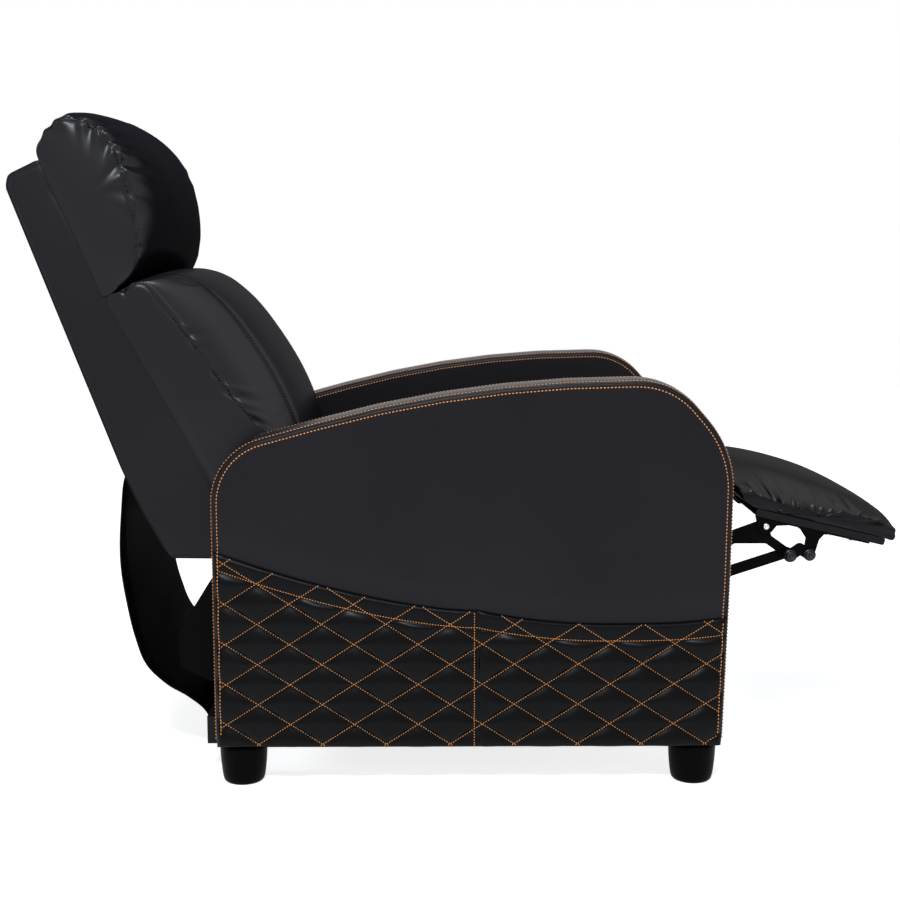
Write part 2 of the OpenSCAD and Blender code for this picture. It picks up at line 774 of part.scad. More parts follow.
// Arched link between the knee and the bracket's toe
arch_rise = 9;
module short_links() {
    top = (knee + bracket_toe) / 2 + [0, arch_rise];
    color([0.08, 0.08, 0.08])
        both_sides()
            difference() {
                plate(layer(4), layer(4) + link_t)
                    union() {
                        bar2d(knee, top, link_w);
                        bar2d(top, bracket_toe, link_w - 1);
                    }
                holes([bracket_toe]);
                plate(layer(4) - 1, layer(4) + link_t + 1)
                    bar2d(knee - slot_reach, knee + slot_reach, 2 * hole_r + 1.9);
            }
}
function board_point(u, v) = upper_end + turn([u, v], -board_slope);
module footrest_brackets() {
    color([0.08, 0.08, 0.08])
        both_sides() {
            difference() {
                plate(layer(3), layer(3) + link_t)
                    union() {
                        disc(upper_end, board_low - 0.1);
                        polygon([board_point(-19, 12), board_point(-13, 0), board_point(0, -13),
                            board_point(11, -7), board_point(16, 4), board_point(34, 9), board_point(50, 9),
                            board_point(64, -4), board_point(66, -24), board_point(83, -24),
                            board_point(84, -2), board_point(90, 9), board_point(158, 9),
                            board_point(160, 12)]);
                        bar2d(bracket_toe, board_point(74, -12), link_w);
                    }
                holes([upper_end]);
            }
            plate(layer(3) - 34, layer(3))
                polygon([board_point(40, 9), board_point(158, 9), board_point(158, 12), board_point(40, 12)]);
            rivet(bracket_toe, layer(3) + link_t, layer(4), 2.2 * rivet_r, 3);
        }
}
module footrest_board() {
    color([0.09, 0.09, 0.1])
        sited()
            plate(-board_half_w, board_half_w)
                polygon(rounded([for (c = [[board_rear, board_low], [board_front, board_low],
                    [board_front, board_low + board_t], [board_rear, board_low + board_t]])
                    let (p = board_point(c[0], c[1] + 0.05)) [p[0], p[1], 3]]));
}
pad_top = board_low + board_t + 1.1;
function pad_outline(pts) = concat([for (i = [0:5]) board_point(mix(board_rear, board_front + 2, i / 6), pad_top)],
    spline([for (p = pts) board_point(p[0], p[1])], 3));
pad_edge = pad_outline([[board_front + 4, pad_top], [189, 22], [193, 27], [188, 38], [165, 45], [125, 47],
    [85, 42], [45, 38], [12, 28], [-12, 37], [-38, 45], [-46, 36], [-30, 26]]);
pad_middle = pad_outline([[board_front + 4, pad_top], [196, 20], [206, 27], [206, 42], [180, 57], [136, 68],
    [90, 74], [40, 76], [-8, 74], [-40, 65], [-58, 48], [-46, 34], [-30, 26]]);
module footrest_cushion() {
    color([0.2, 0.2, 0.21])
        sited()
            soft_loft(pad_edge, pad_middle, 253, stations, 0.08);
}
module footrest_screws() {
    color("silver")
        both_sides()
            for (u = [60, 100, 140]) {
                p = board_point(u, 5.5);
                translate([p[0], layer(3) - 16, p[1]])
                    rotate([0, board_slope, 0]) {
                        cylinder(r = 6, h = 3.4);
                        cylinder(r = 2, h = 3.5);
                    }
            }
}

arm_frame(1);  // arm_frame_left
arm_frame(-1);  // arm_frame_right
arm_padding(1);  // arm_padding_left
arm_padding(-1);  // arm_padding_right
arm_gusset(1);  // arm_gusset_left
arm_gusset(-1);  // arm_gusset_right
arm_outer_panel(1);  // arm_outer_panel_left
arm_outer_panel(-1);  // arm_outer_panel_right
arm_inner_panel(1);  // arm_inner_panel_left
arm_inner_panel(-1);  // arm_inner_panel_right
quilt(1, -arm_half - 1, wave_split);  // quilt_rear_left
quilt(-1, -arm_half - 1, wave_split);  // quilt_rear_right
quilt(1, wave_split, arm_half + 1);  // quilt_front_left
quilt(-1, wave_split, arm_half + 1);  // quilt_front_right
foot(1, front_foot_x);  // foot_front_left
foot(-1, front_foot_x);  // foot_front_right
foot(1, rear_foot_x);  // foot_rear_left
foot(-1, rear_foot_x);  // foot_rear_right
foot_studs();
front_base_rail();
rear_base_rail();
rear_low_rail();
rear_gussets();
base_plate(1);  // base_plate_left
base_plate(-1);  // base_plate_right
base_pins();
arm_bolts();
skirt();
back_side_board(1);  // back_side_board_left
back_side_board(-1);  // back_side_board_right
back_rear_panel();
back_stiles();
back_rails();
back_webbing();
back_cushion();
head_cushion();
back_bracket(1);  // back_bracket_left
back_bracket(-1);  // back_bracket_right
swing_links();
swing_tube();
seat_rails();
seat_springs();
seat_cushion();
seat_plate(1);  // seat_plate_left
seat_plate(-1);  // seat_plate_right
crank_links();
crank_tube();
guide_links();
upper_links();
lower_links();
diagonal_links();
short_links();
footrest_brackets();
footrest_board();
footrest_cushion();
footrest_screws();
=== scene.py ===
import json
import math

import bmesh
import bpy
import numpy as np
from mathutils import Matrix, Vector


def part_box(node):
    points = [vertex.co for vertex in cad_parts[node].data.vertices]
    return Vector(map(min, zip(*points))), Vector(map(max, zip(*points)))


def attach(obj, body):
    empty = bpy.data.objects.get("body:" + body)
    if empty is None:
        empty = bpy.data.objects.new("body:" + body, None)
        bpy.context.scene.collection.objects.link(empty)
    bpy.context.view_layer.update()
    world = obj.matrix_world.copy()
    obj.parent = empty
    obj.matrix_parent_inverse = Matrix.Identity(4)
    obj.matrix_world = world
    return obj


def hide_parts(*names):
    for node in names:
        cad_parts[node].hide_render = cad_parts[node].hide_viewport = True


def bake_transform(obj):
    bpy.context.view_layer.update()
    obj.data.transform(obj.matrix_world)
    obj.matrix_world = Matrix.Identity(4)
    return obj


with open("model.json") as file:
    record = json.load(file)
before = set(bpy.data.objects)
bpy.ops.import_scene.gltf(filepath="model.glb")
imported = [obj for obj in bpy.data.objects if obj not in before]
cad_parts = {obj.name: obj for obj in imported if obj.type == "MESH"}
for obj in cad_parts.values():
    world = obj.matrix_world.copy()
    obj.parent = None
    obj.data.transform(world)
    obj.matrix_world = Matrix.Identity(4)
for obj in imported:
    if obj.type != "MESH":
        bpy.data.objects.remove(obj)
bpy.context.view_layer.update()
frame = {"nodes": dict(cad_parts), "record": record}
scene = bpy.context.scene

# Shapes are worked out in millimetres from the middle of the arm panel: x forward, y to the
# sitter's left, z up. The frame is in metres and its origin lies a little behind that.
OFFSET = 7.7
FLOOR_GAP = 61.0
ARM_INNER, ARM_OUTER = 265.0, 339.0
ARM_HALF = 373.0
ARM_TOP = 597.0

# Camera and light, in metres.

CAMERA_PLACE = (-0.04304, -2.35118, 0.77586)
CAMERA_YAW, CAMERA_PITCH = math.radians(0.551), math.radians(7.79)
CAMERA_LENS, CAMERA_WIDTH = 57.07, 36.0
LAMP_TINT = (0.88, 0.94, 1)
ROOM_TINT = (0.9, 0.95, 1.0, 1)
ROOM_STRENGTH = 0.35
WHITE = (1, 1, 1, 1)
FLOOR_REACH = 6.0
FLOOR_GREY = (0.76, 0.76, 0.76, 1)
FLOOR_GLOW = 0.8


def add(obj):
    """Puts an object into the scene."""
    scene.collection.objects.link(obj)
    return obj


def make_camera():
    data = bpy.data.cameras.new("camera")
    data.lens, data.sensor_width = CAMERA_LENS, CAMERA_WIDTH
    cam = add(bpy.data.objects.new("camera", data))
    ahead = math.cos(CAMERA_PITCH)
    look = Vector((math.sin(CAMERA_YAW) * ahead, math.cos(CAMERA_YAW) * ahead, -math.sin(CAMERA_PITCH)))
    cam.location = CAMERA_PLACE
    cam.rotation_euler = look.to_track_quat("-Z", "Y").to_euler()
    scene.camera = cam


def area_light(name, place, target, size, power):
    data = bpy.data.lights.new(name, "AREA")
    data.shape, data.size, data.size_y = "RECTANGLE", size[0], size[1]
    data.energy, data.color = power, LAMP_TINT
    lamp = add(bpy.data.objects.new(name, data))
    lamp.location = place
    lamp.rotation_euler = (Vector(target) - Vector(place)).to_track_quat("-Z", "Y").to_euler()


def node_with(tree, kind, values):
    """A node with some sockets set to numbers and others linked to what another node puts out."""
    node = tree.nodes.new(kind)
    for label, value in values.items():
        if isinstance(value, bpy.types.NodeSocket):
            tree.links.new(value, node.inputs[label])
        else:
            node.inputs[label].default_value = value
    return node


def either(tree, first, second):
    """1 for a ray that passes one of two tests."""
    node = node_with(tree, "ShaderNodeMath", {0: first, 1: second})
    node.operation, node.use_clamp = "ADD", True
    return node.outputs[0]


def background(tree, color, strength):
    return node_with(tree, "ShaderNodeBackground", {"Color": color, "Strength": strength}).outputs[0]


def make_world():
    """A soft bluish room that looks white to the camera, in mirrors and through glass."""
    world = bpy.data.worlds.new("studio")
    scene.world = world
    world.use_nodes = True
    tree = world.node_tree
    tree.nodes.clear()
    ray = tree.nodes.new("ShaderNodeLightPath").outputs
    seen = either(tree, ray["Is Camera Ray"], ray["Is Transmission Ray"])
    shown = either(tree, seen, ray["Is Glossy Ray"])
    mix = node_with(tree, "ShaderNodeMixShader", {
        0: shown, 1: background(tree, ROOM_TINT, ROOM_STRENGTH), 2: background(tree, WHITE, 1.0)})
    node_with(tree, "ShaderNodeOutputWorld", {"Surface": mix.outputs[0]})


def make_floor():
    mesh = bpy.data.meshes.new("floor")
    s = FLOOR_REACH
    mesh.from_pydata([(-s, -s, 0), (s, -s, 0), (s, s, 0), (-s, s, 0)], [], [(0, 1, 2, 3)])
    floor = add(bpy.data.objects.new("floor", mesh))
    mat, tree, shader = new_material("pale_floor", FLOOR_GREY[:3], 0.9, 0.1)
    shader.inputs["Emission Color"].default_value = WHITE
    ray = tree.nodes.new("ShaderNodeLightPath").outputs
    shown = either(tree, ray["Is Camera Ray"], ray["Is Glossy Ray"])
    glow = node_with(tree, "ShaderNodeMath", {0: shown, 1: FLOOR_GLOW})
    glow.operation = "MULTIPLY"
    tree.links.new(glow.outputs[0], shader.inputs["Emission Strength"])
    floor.data.materials.append(mat)


def make_stage():
    scene.view_settings.view_transform = "Standard"
    make_camera()
    make_world()
    make_floor()
    area_light("key", (-0.35, -2.2, 2.4), (0, 0, 0.45), (1.1, 0.3), 60)
    area_light("top", (0.1, -0.1, 2.7), (0, 0, 0.3), (0.8, 0.5), 26)


# Effects that several materials share, each a node group.

# The middle part of a noise, which is stretched over the whole of a range.
NOISE_LOW, NOISE_HIGH = 0.3, 0.7
PORES_PER_METRE, PORE_DEPTH = 620.0, 0.0006
CREASES_PER_METRE, CREASE_DEPTH = 30.0, 0.004
WEAVE_PER_METRE = 400.0


def new_group(name, inputs, outputs):
    """An empty node group; inputs and outputs are (name, kind) pairs."""
    tree = bpy.data.node_groups.new(name, "ShaderNodeTree")
    for label, kind in inputs:
        tree.interface.new_socket(label, in_out="INPUT", socket_type="NodeSocket" + kind)
    for label, kind in outputs:
        tree.interface.new_socket(label, in_out="OUTPUT", socket_type="NodeSocket" + kind)
    given = tree.nodes.new("NodeGroupInput").outputs
    result = tree.nodes.new("NodeGroupOutput").inputs
    return tree, given, result


def own_place(tree):
    return tree.nodes.new("ShaderNodeTexCoord").outputs["Object"]


def ranged(tree, value, from_min, from_max, to_min, to_max):
    return node_with(tree, "ShaderNodeMapRange", {
        "Value": value, "From Min": from_min, "From Max": from_max, "To Min": to_min, "To Max": to_max})


def shaded(tree, share, dark, light):
    """A colour between two others."""
    node = tree.nodes.new("ShaderNodeMix")
    node.data_type = "RGBA"
    tree.links.new(share, node.inputs["Factor"])
    tree.links.new(dark, node.inputs[6])
    tree.links.new(light, node.inputs[7])
    return node.outputs[2]


def bumped(tree, height, distance, strength, under=None):
    values = {"Height": height, "Distance": distance, "Strength": strength}
    if under:
        values["Normal"] = under
    return node_with(tree, "ShaderNodeBump", values).outputs[0]


def patches_group():
    """Cloudy patches between two colours and between two roughnesses."""
    tree, given, result = new_group(
        "patches",
        [("Scale", "Float"), ("Detail", "Float"), ("Stretch", "Vector"), ("Low", "Float"),
         ("High", "Float"), ("Dark", "Color"), ("Light", "Color"), ("Smooth", "Float"), ("Dull", "Float")],
        [("Color", "Color"), ("Roughness", "Float"), ("Value", "Float")])
    spread = node_with(tree, "ShaderNodeMapping", {"Vector": own_place(tree), "Scale": given["Stretch"]})
    cloud = node_with(tree, "ShaderNodeTexNoise", {
        "Vector": spread.outputs[0], "Scale": given["Scale"], "Detail": given["Detail"]}).outputs["Fac"]
    share = ranged(tree, cloud, given["Low"], given["High"], 0.0, 1.0).outputs[0]
    rough = ranged(tree, cloud, NOISE_LOW, NOISE_HIGH, given["Smooth"], given["Dull"]).outputs[0]
    tree.links.new(shaded(tree, share, given["Dark"], given["Light"]), result["Color"])
    tree.links.new(rough, result["Roughness"])
    tree.links.new(cloud, result["Value"])
    return tree


def skin_group():
    """The pores and shallow creases of leather."""
    tree, given, result = new_group("skin", [("Pores", "Float"), ("Creases", "Float")],
                                    [("Normal", "Vector")])
    place = own_place(tree)
    cells = node_with(tree, "ShaderNodeTexVoronoi", {"Vector": place, "Scale": PORES_PER_METRE})
    folds = node_with(tree, "ShaderNodeTexNoise", {
        "Vector": place, "Scale": CREASES_PER_METRE, "Detail": 3.0})
    creases = bumped(tree, folds.outputs["Fac"], CREASE_DEPTH, given["Creases"])
    pores = bumped(tree, cells.outputs["Distance"], PORE_DEPTH, given["Pores"], creases)
    tree.links.new(pores, result["Normal"])
    return tree


def weave_group():
    """Small cells between two colours."""
    tree, given, result = new_group("weave", [("Dark", "Color"), ("Light", "Color")],
                                    [("Color", "Color"), ("Value", "Float")])
    cells = node_with(tree, "ShaderNodeTexVoronoi", {"Vector": own_place(tree), "Scale": WEAVE_PER_METRE})
    share = ranged(tree, cells.outputs["Distance"], NOISE_LOW, NOISE_HIGH, 0.0, 1.0).outputs[0]
    tree.links.new(shaded(tree, share, given["Dark"], given["Light"]), result["Color"])
    tree.links.new(cells.outputs["Distance"], result["Value"])
    return tree


PATCHES, SKIN, WEAVE = patches_group(), skin_group(), weave_group()


# Materials.

GLOSS_FADE = 0.4


def new_material(name, color, rough, specular):
    mat = bpy.data.materials.new(name)
    mat.use_nodes = True
    shader = mat.node_tree.nodes["Principled BSDF"]
    shader.inputs["Base Color"].default_value = (*color, 1)
    shader.inputs["Roughness"].default_value = rough
    shader.inputs["Specular IOR Level"].default_value = specular
    return mat, mat.node_tree, shader


def placed(tree, group, values):
    """A shared effect with this material's own values."""
    node = tree.nodes.new("ShaderNodeGroup")
    node.node_tree = group
    for label, value in values.items():
        node.inputs[label].default_value = value
    return node.outputs


def tones(color, dark, light):
    return {"Dark": (*(c * dark for c in color), 1), "Light": (*(c * light for c in color), 1)}


def finished(mat, shader, values):
    """Links what changes over the surface to the shader."""
    for label, value in values.items():
        mat.node_tree.links.new(value, shader.inputs[label])
    return mat


def patches(tree, color, rough, scale, detail, stretch=(1, 1, 1), shades=(1, 1), span=(0, 1), wear=(0, 0)):
    """shades darken and lighten the colour, and wear is added to the roughness."""
    return placed(tree, PATCHES, {
        "Scale": scale, "Detail": detail, "Stretch": stretch, "Low": span[0], "High": span[1],
        "Smooth": rough + wear[0], "Dull": rough + wear[1], **tones(color, *shades)})


def sheen(tree, shader, rough, ior, rim, dull_from):
    """A gloss that is full on faces seen straight on and weaker (rim) on faces seen edge on."""
    shader.inputs["Coat Roughness"].default_value = rough
    shader.inputs["Coat IOR"].default_value = ior
    facing = tree.nodes.new("ShaderNodeLayerWeight").outputs["Facing"]
    fade = ranged(tree, facing, dull_from, dull_from + GLOSS_FADE, 1.0, rim)
    fade.interpolation_type = "SMOOTHSTEP"
    tree.links.new(fade.outputs[0], shader.inputs["Coat Weight"])


def leather(name, color, rough, ior, pores, creases, rim, dull_from=0.4):
    mat, tree, shader = new_material(name, color, rough, 0.0)
    sheen(tree, shader, rough, ior, rim, dull_from)
    clouds = patches(tree, color, rough, 5.0, 3.0, shades=(0.8, 1.25), span=(NOISE_LOW, NOISE_HIGH))
    worn = patches(tree, color, rough, 14.0, 4.0, wear=(-0.05, 0.07))
    skin = placed(tree, SKIN, {"Pores": pores, "Creases": creases})
    return finished(mat, shader, {"Base Color": clouds["Color"], "Roughness": worn["Roughness"],
                                  "Normal": skin["Normal"]})


def thread(name, color, rough=0.5):
    mat, tree, shader = new_material(name, color, rough, 0.4)
    spun = patches(tree, color, rough, 1400.0, 1.0, stretch=(1, 1, 2.5), shades=(0.7, 1))
    relief = bumped(tree, spun["Value"], 0.0004, 0.5)
    return finished(mat, shader, {"Base Color": spun["Color"], "Normal": relief})


def painted(name, color, rough, specular):
    mat, tree, shader = new_material(name, color, rough, specular)
    patch = patches(tree, color, rough, 22.0, 4.0, shades=(0.75, 1), wear=(-0.06, 0.1))
    speckle = patches(tree, color, rough, 900.0, 1.0)
    relief = bumped(tree, speckle["Value"], 0.0003, 0.25)
    return finished(mat, shader, {"Base Color": patch["Color"], "Roughness": patch["Roughness"],
                                  "Normal": relief})


def bright_steel(name, color, rough):
    mat, tree, shader = new_material(name, color, rough, 0.5)
    shader.inputs["Metallic"].default_value = 1.0
    smear = patches(tree, color, rough, 60.0, 3.0, stretch=(1, 1, 6), wear=(-0.07, 0.12))
    relief = bumped(tree, smear["Value"], 0.0003, 0.2)
    return finished(mat, shader, {"Roughness": smear["Roughness"], "Normal": relief})


def timber(name, color):
    mat, tree, shader = new_material(name, color, 0.6, 0.3)
    rings = patches(tree, color, 0.6, 18.0, 5.0, stretch=(0.4, 3, 3), shades=(0.6, 1))
    relief = bumped(tree, rings["Value"], 0.0006, 0.3)
    return finished(mat, shader, {"Base Color": rings["Color"], "Normal": relief})


def woven(name, color):
    mat, tree, shader = new_material(name, color, 0.8, 0.2)
    weave = placed(tree, WEAVE, tones(color, 0.6, 1.4))
    relief = bumped(tree, weave["Value"], 0.0006, 0.5)
    return finished(mat, shader, {"Base Color": weave["Color"], "Normal": relief})


# Leathers: colour, roughness, gloss, pores, creases, gloss seen edge on, where the gloss starts to fade.
MATS = {
    "arm": leather("arm_leather", (0.0052, 0.0048, 0.0068), 0.42, 1.25, 0.22, 0.1, 1.0),
    "quilt": leather("quilt_leather", (0.0008, 0.0008, 0.0012), 0.3, 1.19, 0.3, 0.1, 0.06),
    "head": leather("head_leather", (0.0065, 0.0062, 0.0085), 0.31, 1.3, 0.22, 0.2, 0.02, 0.26),
    "cushion": leather("cushion_leather", (0.0065, 0.0062, 0.0085), 0.32, 1.3, 0.22, 0.2, 0.1, 0.3),
    "slab": leather("slab_leather", (0.007, 0.0066, 0.0085), 0.42, 1.25, 0.22, 0.1, 0.1),
    "pad": leather("pad_leather", (0.003, 0.0029, 0.0036), 0.3, 1.24, 0.22, 0.25, 0.12),
    "skirt": leather("skirt_vinyl", (0.0016, 0.0016, 0.002), 0.32, 1.24, 0.12, 0.2, 0.03, 0.35),
    "orange": thread("orange_thread", (0.95, 0.37, 0.11)),
    "black": thread("black_thread", (0.002, 0.002, 0.002), 0.45),
    "paint": painted("black_paint", (0.002, 0.002, 0.0022), 0.4, 0.03),
    "plastic": painted("black_plastic", (0.0015, 0.0015, 0.0015), 0.42, 0.03),
    "zinc": bright_steel("zinc", (0.62, 0.62, 0.64), 0.3),
    "bolt": bright_steel("dark_bolt", (0.03, 0.03, 0.033), 0.36),
    "wood": timber("pine", (0.5, 0.34, 0.19)),
    "web": woven("webbing", (0.03, 0.03, 0.032)),
    "foam": woven("foam", (0.62, 0.6, 0.54)),
}


# Meshes.

MERGE_WITHIN = 1e-6
ARC_STEP = 0.05
# How wide the rolled edge beside a seam is, and the groove at the seam.
ROLL_WIDTH, GROOVE_WIDTH = 5.0, 1.7


def to_frame(points):
    """Millimetres of the drawing to metres of the frame."""
    p = np.array(points, float)
    p[..., 0] += OFFSET
    return p / 1000.0


def across(points, y):
    """Points of x and height, put at one or many places across the chair."""
    return np.stack([points[:, 0], np.full(len(points), y), points[:, 1]], 1)


def side_run(points, y, side):
    """A run of stitches on a face that looks sideways, with its outward directions."""
    return across(points, y), np.tile([0, side, 0], (len(points), 1))


def mesh_object(name, verts, faces, mat):
    mesh = bpy.data.meshes.new(name)
    mesh.from_pydata([tuple(v) for v in to_frame(verts)], [], faces)
    mesh.validate()
    mesh.update()
    mesh.shade_smooth()
    mesh.materials.append(mat)
    return add(bpy.data.objects.new(name, mesh))


def grid_faces(rows, cols, closed):
    faces = []
    for r in range(rows - 1):
        for c in range(cols if closed else cols - 1):
            a, b = r * cols + c, r * cols + (c + 1) % cols
            faces.append((a, b, b + cols, a + cols))
    return faces


def closed_tube(rows):
    """Rows of closed loops, with the first and last loop drawn together at their middles."""
    r, n = rows.shape[:2]
    verts = np.concatenate([rows.reshape(-1, 3), [rows[0].mean(0)], [rows[-1].mean(0)]])
    faces = grid_faces(r, n, True)
    for c in range(n):
        d = (c + 1) % n
        faces.append((r * n, d, c))
        faces.append((r * n + 1, (r - 1) * n + c, (r - 1) * n + d))
    return verts, faces


def turn_outwards(obj, merge=False):
    """Turns every face outwards, and first merges the points that lie on an axis if that is asked."""
    bm = bmesh.new()
    bm.from_mesh(obj.data)
    if merge:
        bmesh.ops.remove_doubles(bm, verts=bm.verts, dist=MERGE_WITHIN)
    bmesh.ops.recalc_face_normals(bm, faces=bm.faces)
    bm.to_mesh(obj.data)
    bm.free()
    obj.data.shade_smooth()
    return obj


def corner_arc(a, p, b, radius):
    """Points round the corner p between its neighbours a and b."""
    a, p, b = (np.array(v[:2], float) for v in (a, p, b))
    u, v = (a - p) / np.linalg.norm(a - p), (b - p) / np.linalg.norm(b - p)
    half = math.acos(max(-1, min(1, float(u @ v)))) / 2
    centre = p + (u + v) / np.linalg.norm(u + v) * radius / math.sin(half)
    start = p + u * radius / math.tan(half) - centre
    sweep = math.pi - 2 * half
    side = np.sign(u[0] * v[1] - u[1] * v[0])
    steps = max(2, int(sweep / ARC_STEP))
    out = []
    for k in range(steps + 1):
        t = -side * sweep * k / steps
        out.append(centre + [start[0] * math.cos(t) - start[1] * math.sin(t),
                             start[0] * math.sin(t) + start[1] * math.cos(t)])
    return out


def rounded(corners):
    """An outline with its corners rounded."""
    n = len(corners)
    pts = []
    for i in range(n):
        pts += corner_arc(corners[i - 1], corners[i], corners[(i + 1) % n], corners[i][2])
    return np.array(pts)


def along(points):
    """Distance travelled along a run of points."""
    return np.concatenate([[0], np.cumsum(np.linalg.norm(np.diff(points, axis=0), axis=1))])


def resampled(points, count, closed=True):
    """The same run with evenly spaced points."""
    pts = np.concatenate([points, points[:1]]) if closed else np.asarray(points, float)
    s = along(pts)
    at = np.linspace(0, s[-1], count + 1)[:-1] if closed else np.linspace(0, s[-1], count)
    return np.stack([np.interp(at, s, pts[:, k]) for k in range(pts.shape[1])], 1)


def spline(points, per, closed=False):
    """Smooth curve through the points, with per steps on each stretch."""
    p = np.array(points, float)
    n = len(p)
    out = []
    for i in range(n if closed else n - 1):
        p1, p2 = p[i], p[(i + 1) % n]
        p0 = p[i - 1] if closed or i > 0 else 2 * p1 - p2
        p3 = p[(i + 2) % n] if closed or i < n - 2 else 2 * p2 - p1
        for k in range(per):
            t = k / per
            out.append(0.5 * (2 * p1 + (p2 - p0) * t + (2 * p0 - 5 * p1 + 4 * p2 - p3) * t * t
                              + (3 * p1 - p0 - 3 * p2 + p3) * t ** 3))
    if not closed:
        out.append(p[-1])
    return np.array(out)


def outward(loop):
    """Outward directions of an anticlockwise loop."""
    d = np.roll(loop, -1, 0) - np.roll(loop, 1, 0)
    d /= np.linalg.norm(d, axis=1)[:, None]
    return np.stack([d[:, 1], -d[:, 0]], 1)


def distance_to(points, run, closed=True):
    """Shortest distance from each point to a run of segments."""
    a = run if closed else run[:-1]
    b = np.roll(run, -1, 0) if closed else run[1:]
    ab = b - a
    rel = points[:, None, :] - a[None]
    t = np.clip((rel * ab).sum(2) / (ab * ab).sum(1), 0, 1)
    return np.linalg.norm(rel - t[..., None] * ab, axis=2).min(1)


def smoothstep(x, low, high):
    """0 up to low and 1 from high, with a soft rise between."""
    t = np.clip((x - low) / (high - low), 0, 1)
    return t * t * (3 - 2 * t)


def swell(t):
    """A quick rise that levels out at 1."""
    t = np.clip(t, 0, 1)
    return 1 - (1 - t) ** 2


def seam_roll(e, roll, groove=1.4):
    """Height beside a seam: a groove at the seam and a rolled edge beyond it."""
    return roll * (1 - np.exp(-e / ROLL_WIDTH)) - groove * np.exp(-(e / GROOVE_WIDTH) ** 2)


# Stitches. A thread has four rings of five points, wide in the middle and sunk at its ends.

STITCH_RINGS = [(-0.72, 0.25), (-0.3, 0.95), (0.3, 0.95), (0.72, 0.25)]
STITCH_SECTION = [(1, 0.1), (0.55, 0.85), (-0.55, 0.85), (-1, 0.1), (0, -0.6)]
STITCH_SINK, STITCH_END_SINK = 0.55, 0.7
STITCH_AIM = 1.5
TINY = 1e-6


def stitch_faces():
    k, last = len(STITCH_SECTION), len(STITCH_RINGS) - 1
    tip = (last + 1) * k
    faces = grid_faces(last + 1, k, True)
    for j in range(k):
        faces.append((tip, (j + 1) % k, j))
        faces.append((tip + 1, last * k + j, last * k + (j + 1) % k))
    return faces


def stitch_points(middle, forward, up, length, radius):
    side = np.cross(up, forward)
    points = []
    for place, lift in STITCH_RINGS:
        m = middle + forward * place * length / 2 + up * radius * (lift - STITCH_SINK)
        points += [m + side * radius * a + up * radius * z for a, z in STITCH_SECTION]
    low = up * radius * STITCH_END_SINK
    return points + [middle - forward * length / 2 - low, middle + forward * length / 2 - low]


def stitches(name, runs, body, mat, pitch, length, radius):
    """Each run is (points, outward directions); one short raised thread lies at each step."""
    verts, faces = [], []
    pattern = stitch_faces()
    for points, normals in runs:
        s = along(points)
        count = int(s[-1] / pitch)
        for x in (np.arange(count) + 0.5) * s[-1] / max(count, 1):
            middle, up = (np.array([np.interp(x, s, v[:, i]) for i in range(3)]) for v in (points, normals))
            ahead, behind = (np.array([np.interp(x + d, s, points[:, i]) for i in range(3)])
                             for d in (STITCH_AIM, -STITCH_AIM))
            forward = (ahead - behind) / max(np.linalg.norm(ahead - behind), TINY)
            up = up - forward * (up @ forward)
            up /= max(np.linalg.norm(up), TINY)
            base = len(verts)
            verts += stitch_points(middle, forward, up, length, radius)
            faces += [tuple(base + i for i in face) for face in pattern]
    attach(mesh_object(name, np.array(verts), faces, mat), body)


# Upholstered bodies: a side panel, a strip round the edge and the other side panel.

# Distances of the rings from an edge, the share of a narrow panel that they may take, and how
# near its middle the last of the inner rings comes.
EDGE_STEPS = [0, 0.9, 1.8, 2.8, 4.2, 6, 9, 13, 19, 28, 40, 56]
EDGE_SHARE, INNER_RINGS, INNER_END = 0.8, 9, 0.93
STRIP_SHARE = 0.75


def side_rows(loop, y, sign, height):
    """Rings from the edge to the middle of one side panel. height(points) is how far it stands out."""
    centre = loop.mean(0)
    reach = np.linalg.norm(centre - loop, axis=1)[:, None]
    close = np.minimum(1, EDGE_SHARE * reach / EDGE_STEPS[-1])
    fractions = [d * close / reach for d in EDGE_STEPS]
    last = fractions[-1]
    fractions += [last + (INNER_END - last) * k / INNER_RINGS for k in range(1, INNER_RINGS + 1)]
    rows = []
    for f in fractions:
        p = loop + (centre - loop) * f
        rows.append(across(p, y + sign * height(p)))
    return rows


def strip_rows(loop, y0, y1, roll, crown):
    """Rings across the strip between the two panels, without the two seams themselves."""
    half, middle = (y1 - y0) / 2, (y0 + y1) / 2
    steps = [e for e in EDGE_STEPS[1:] if e < half * STRIP_SHARE] + [half]
    ys = [-half + e for e in steps] + [half - e for e in reversed(steps[:-1])]
    out = outward(loop)
    rows = []
    for y in ys:
        e = half - abs(y)
        d = seam_roll(e, roll) + crown * (1 - (abs(y) / half) ** 3)
        d = d * smoothstep(loop[:, 1], loop[:, 1].min() + 1, loop[:, 1].min() + 14)[:, None]
        p = loop + out * d
        rows.append(across(p, middle + y))
    return rows


def upholstered(name, loop, y0, y1, low_height, high_height, mat, roll, crown, floor=None):
    """A tight cover: roll and crown shape its strip, and nothing of it lies below floor."""
    low = side_rows(loop, y0, -1, low_height)[::-1]
    high = side_rows(loop, y1, 1, high_height)
    rows = np.array(low + strip_rows(loop, y0, y1, roll, crown) + high)
    if floor:
        rows[..., 2] = np.maximum(rows[..., 2], floor)
    verts, faces = closed_tube(rows)
    return turn_outwards(mesh_object(name, verts, faces, mat))


# Arms. A corner is its x, its height and its radius.

ARM_CORNERS = [(-ARM_HALF + 1, FLOOR_GAP, 2), (ARM_HALF - 7, FLOOR_GAP, 2), (ARM_HALF - 1, 300, 900),
               (ARM_HALF + 1, ARM_TOP - 100, 150), (ARM_HALF - 86, ARM_TOP, 110), (1, ARM_TOP, 1700),
               (-ARM_HALF + 1, ARM_TOP - 102, 95)]
ARM_LOOP = resampled(rounded(ARM_CORNERS), 260)

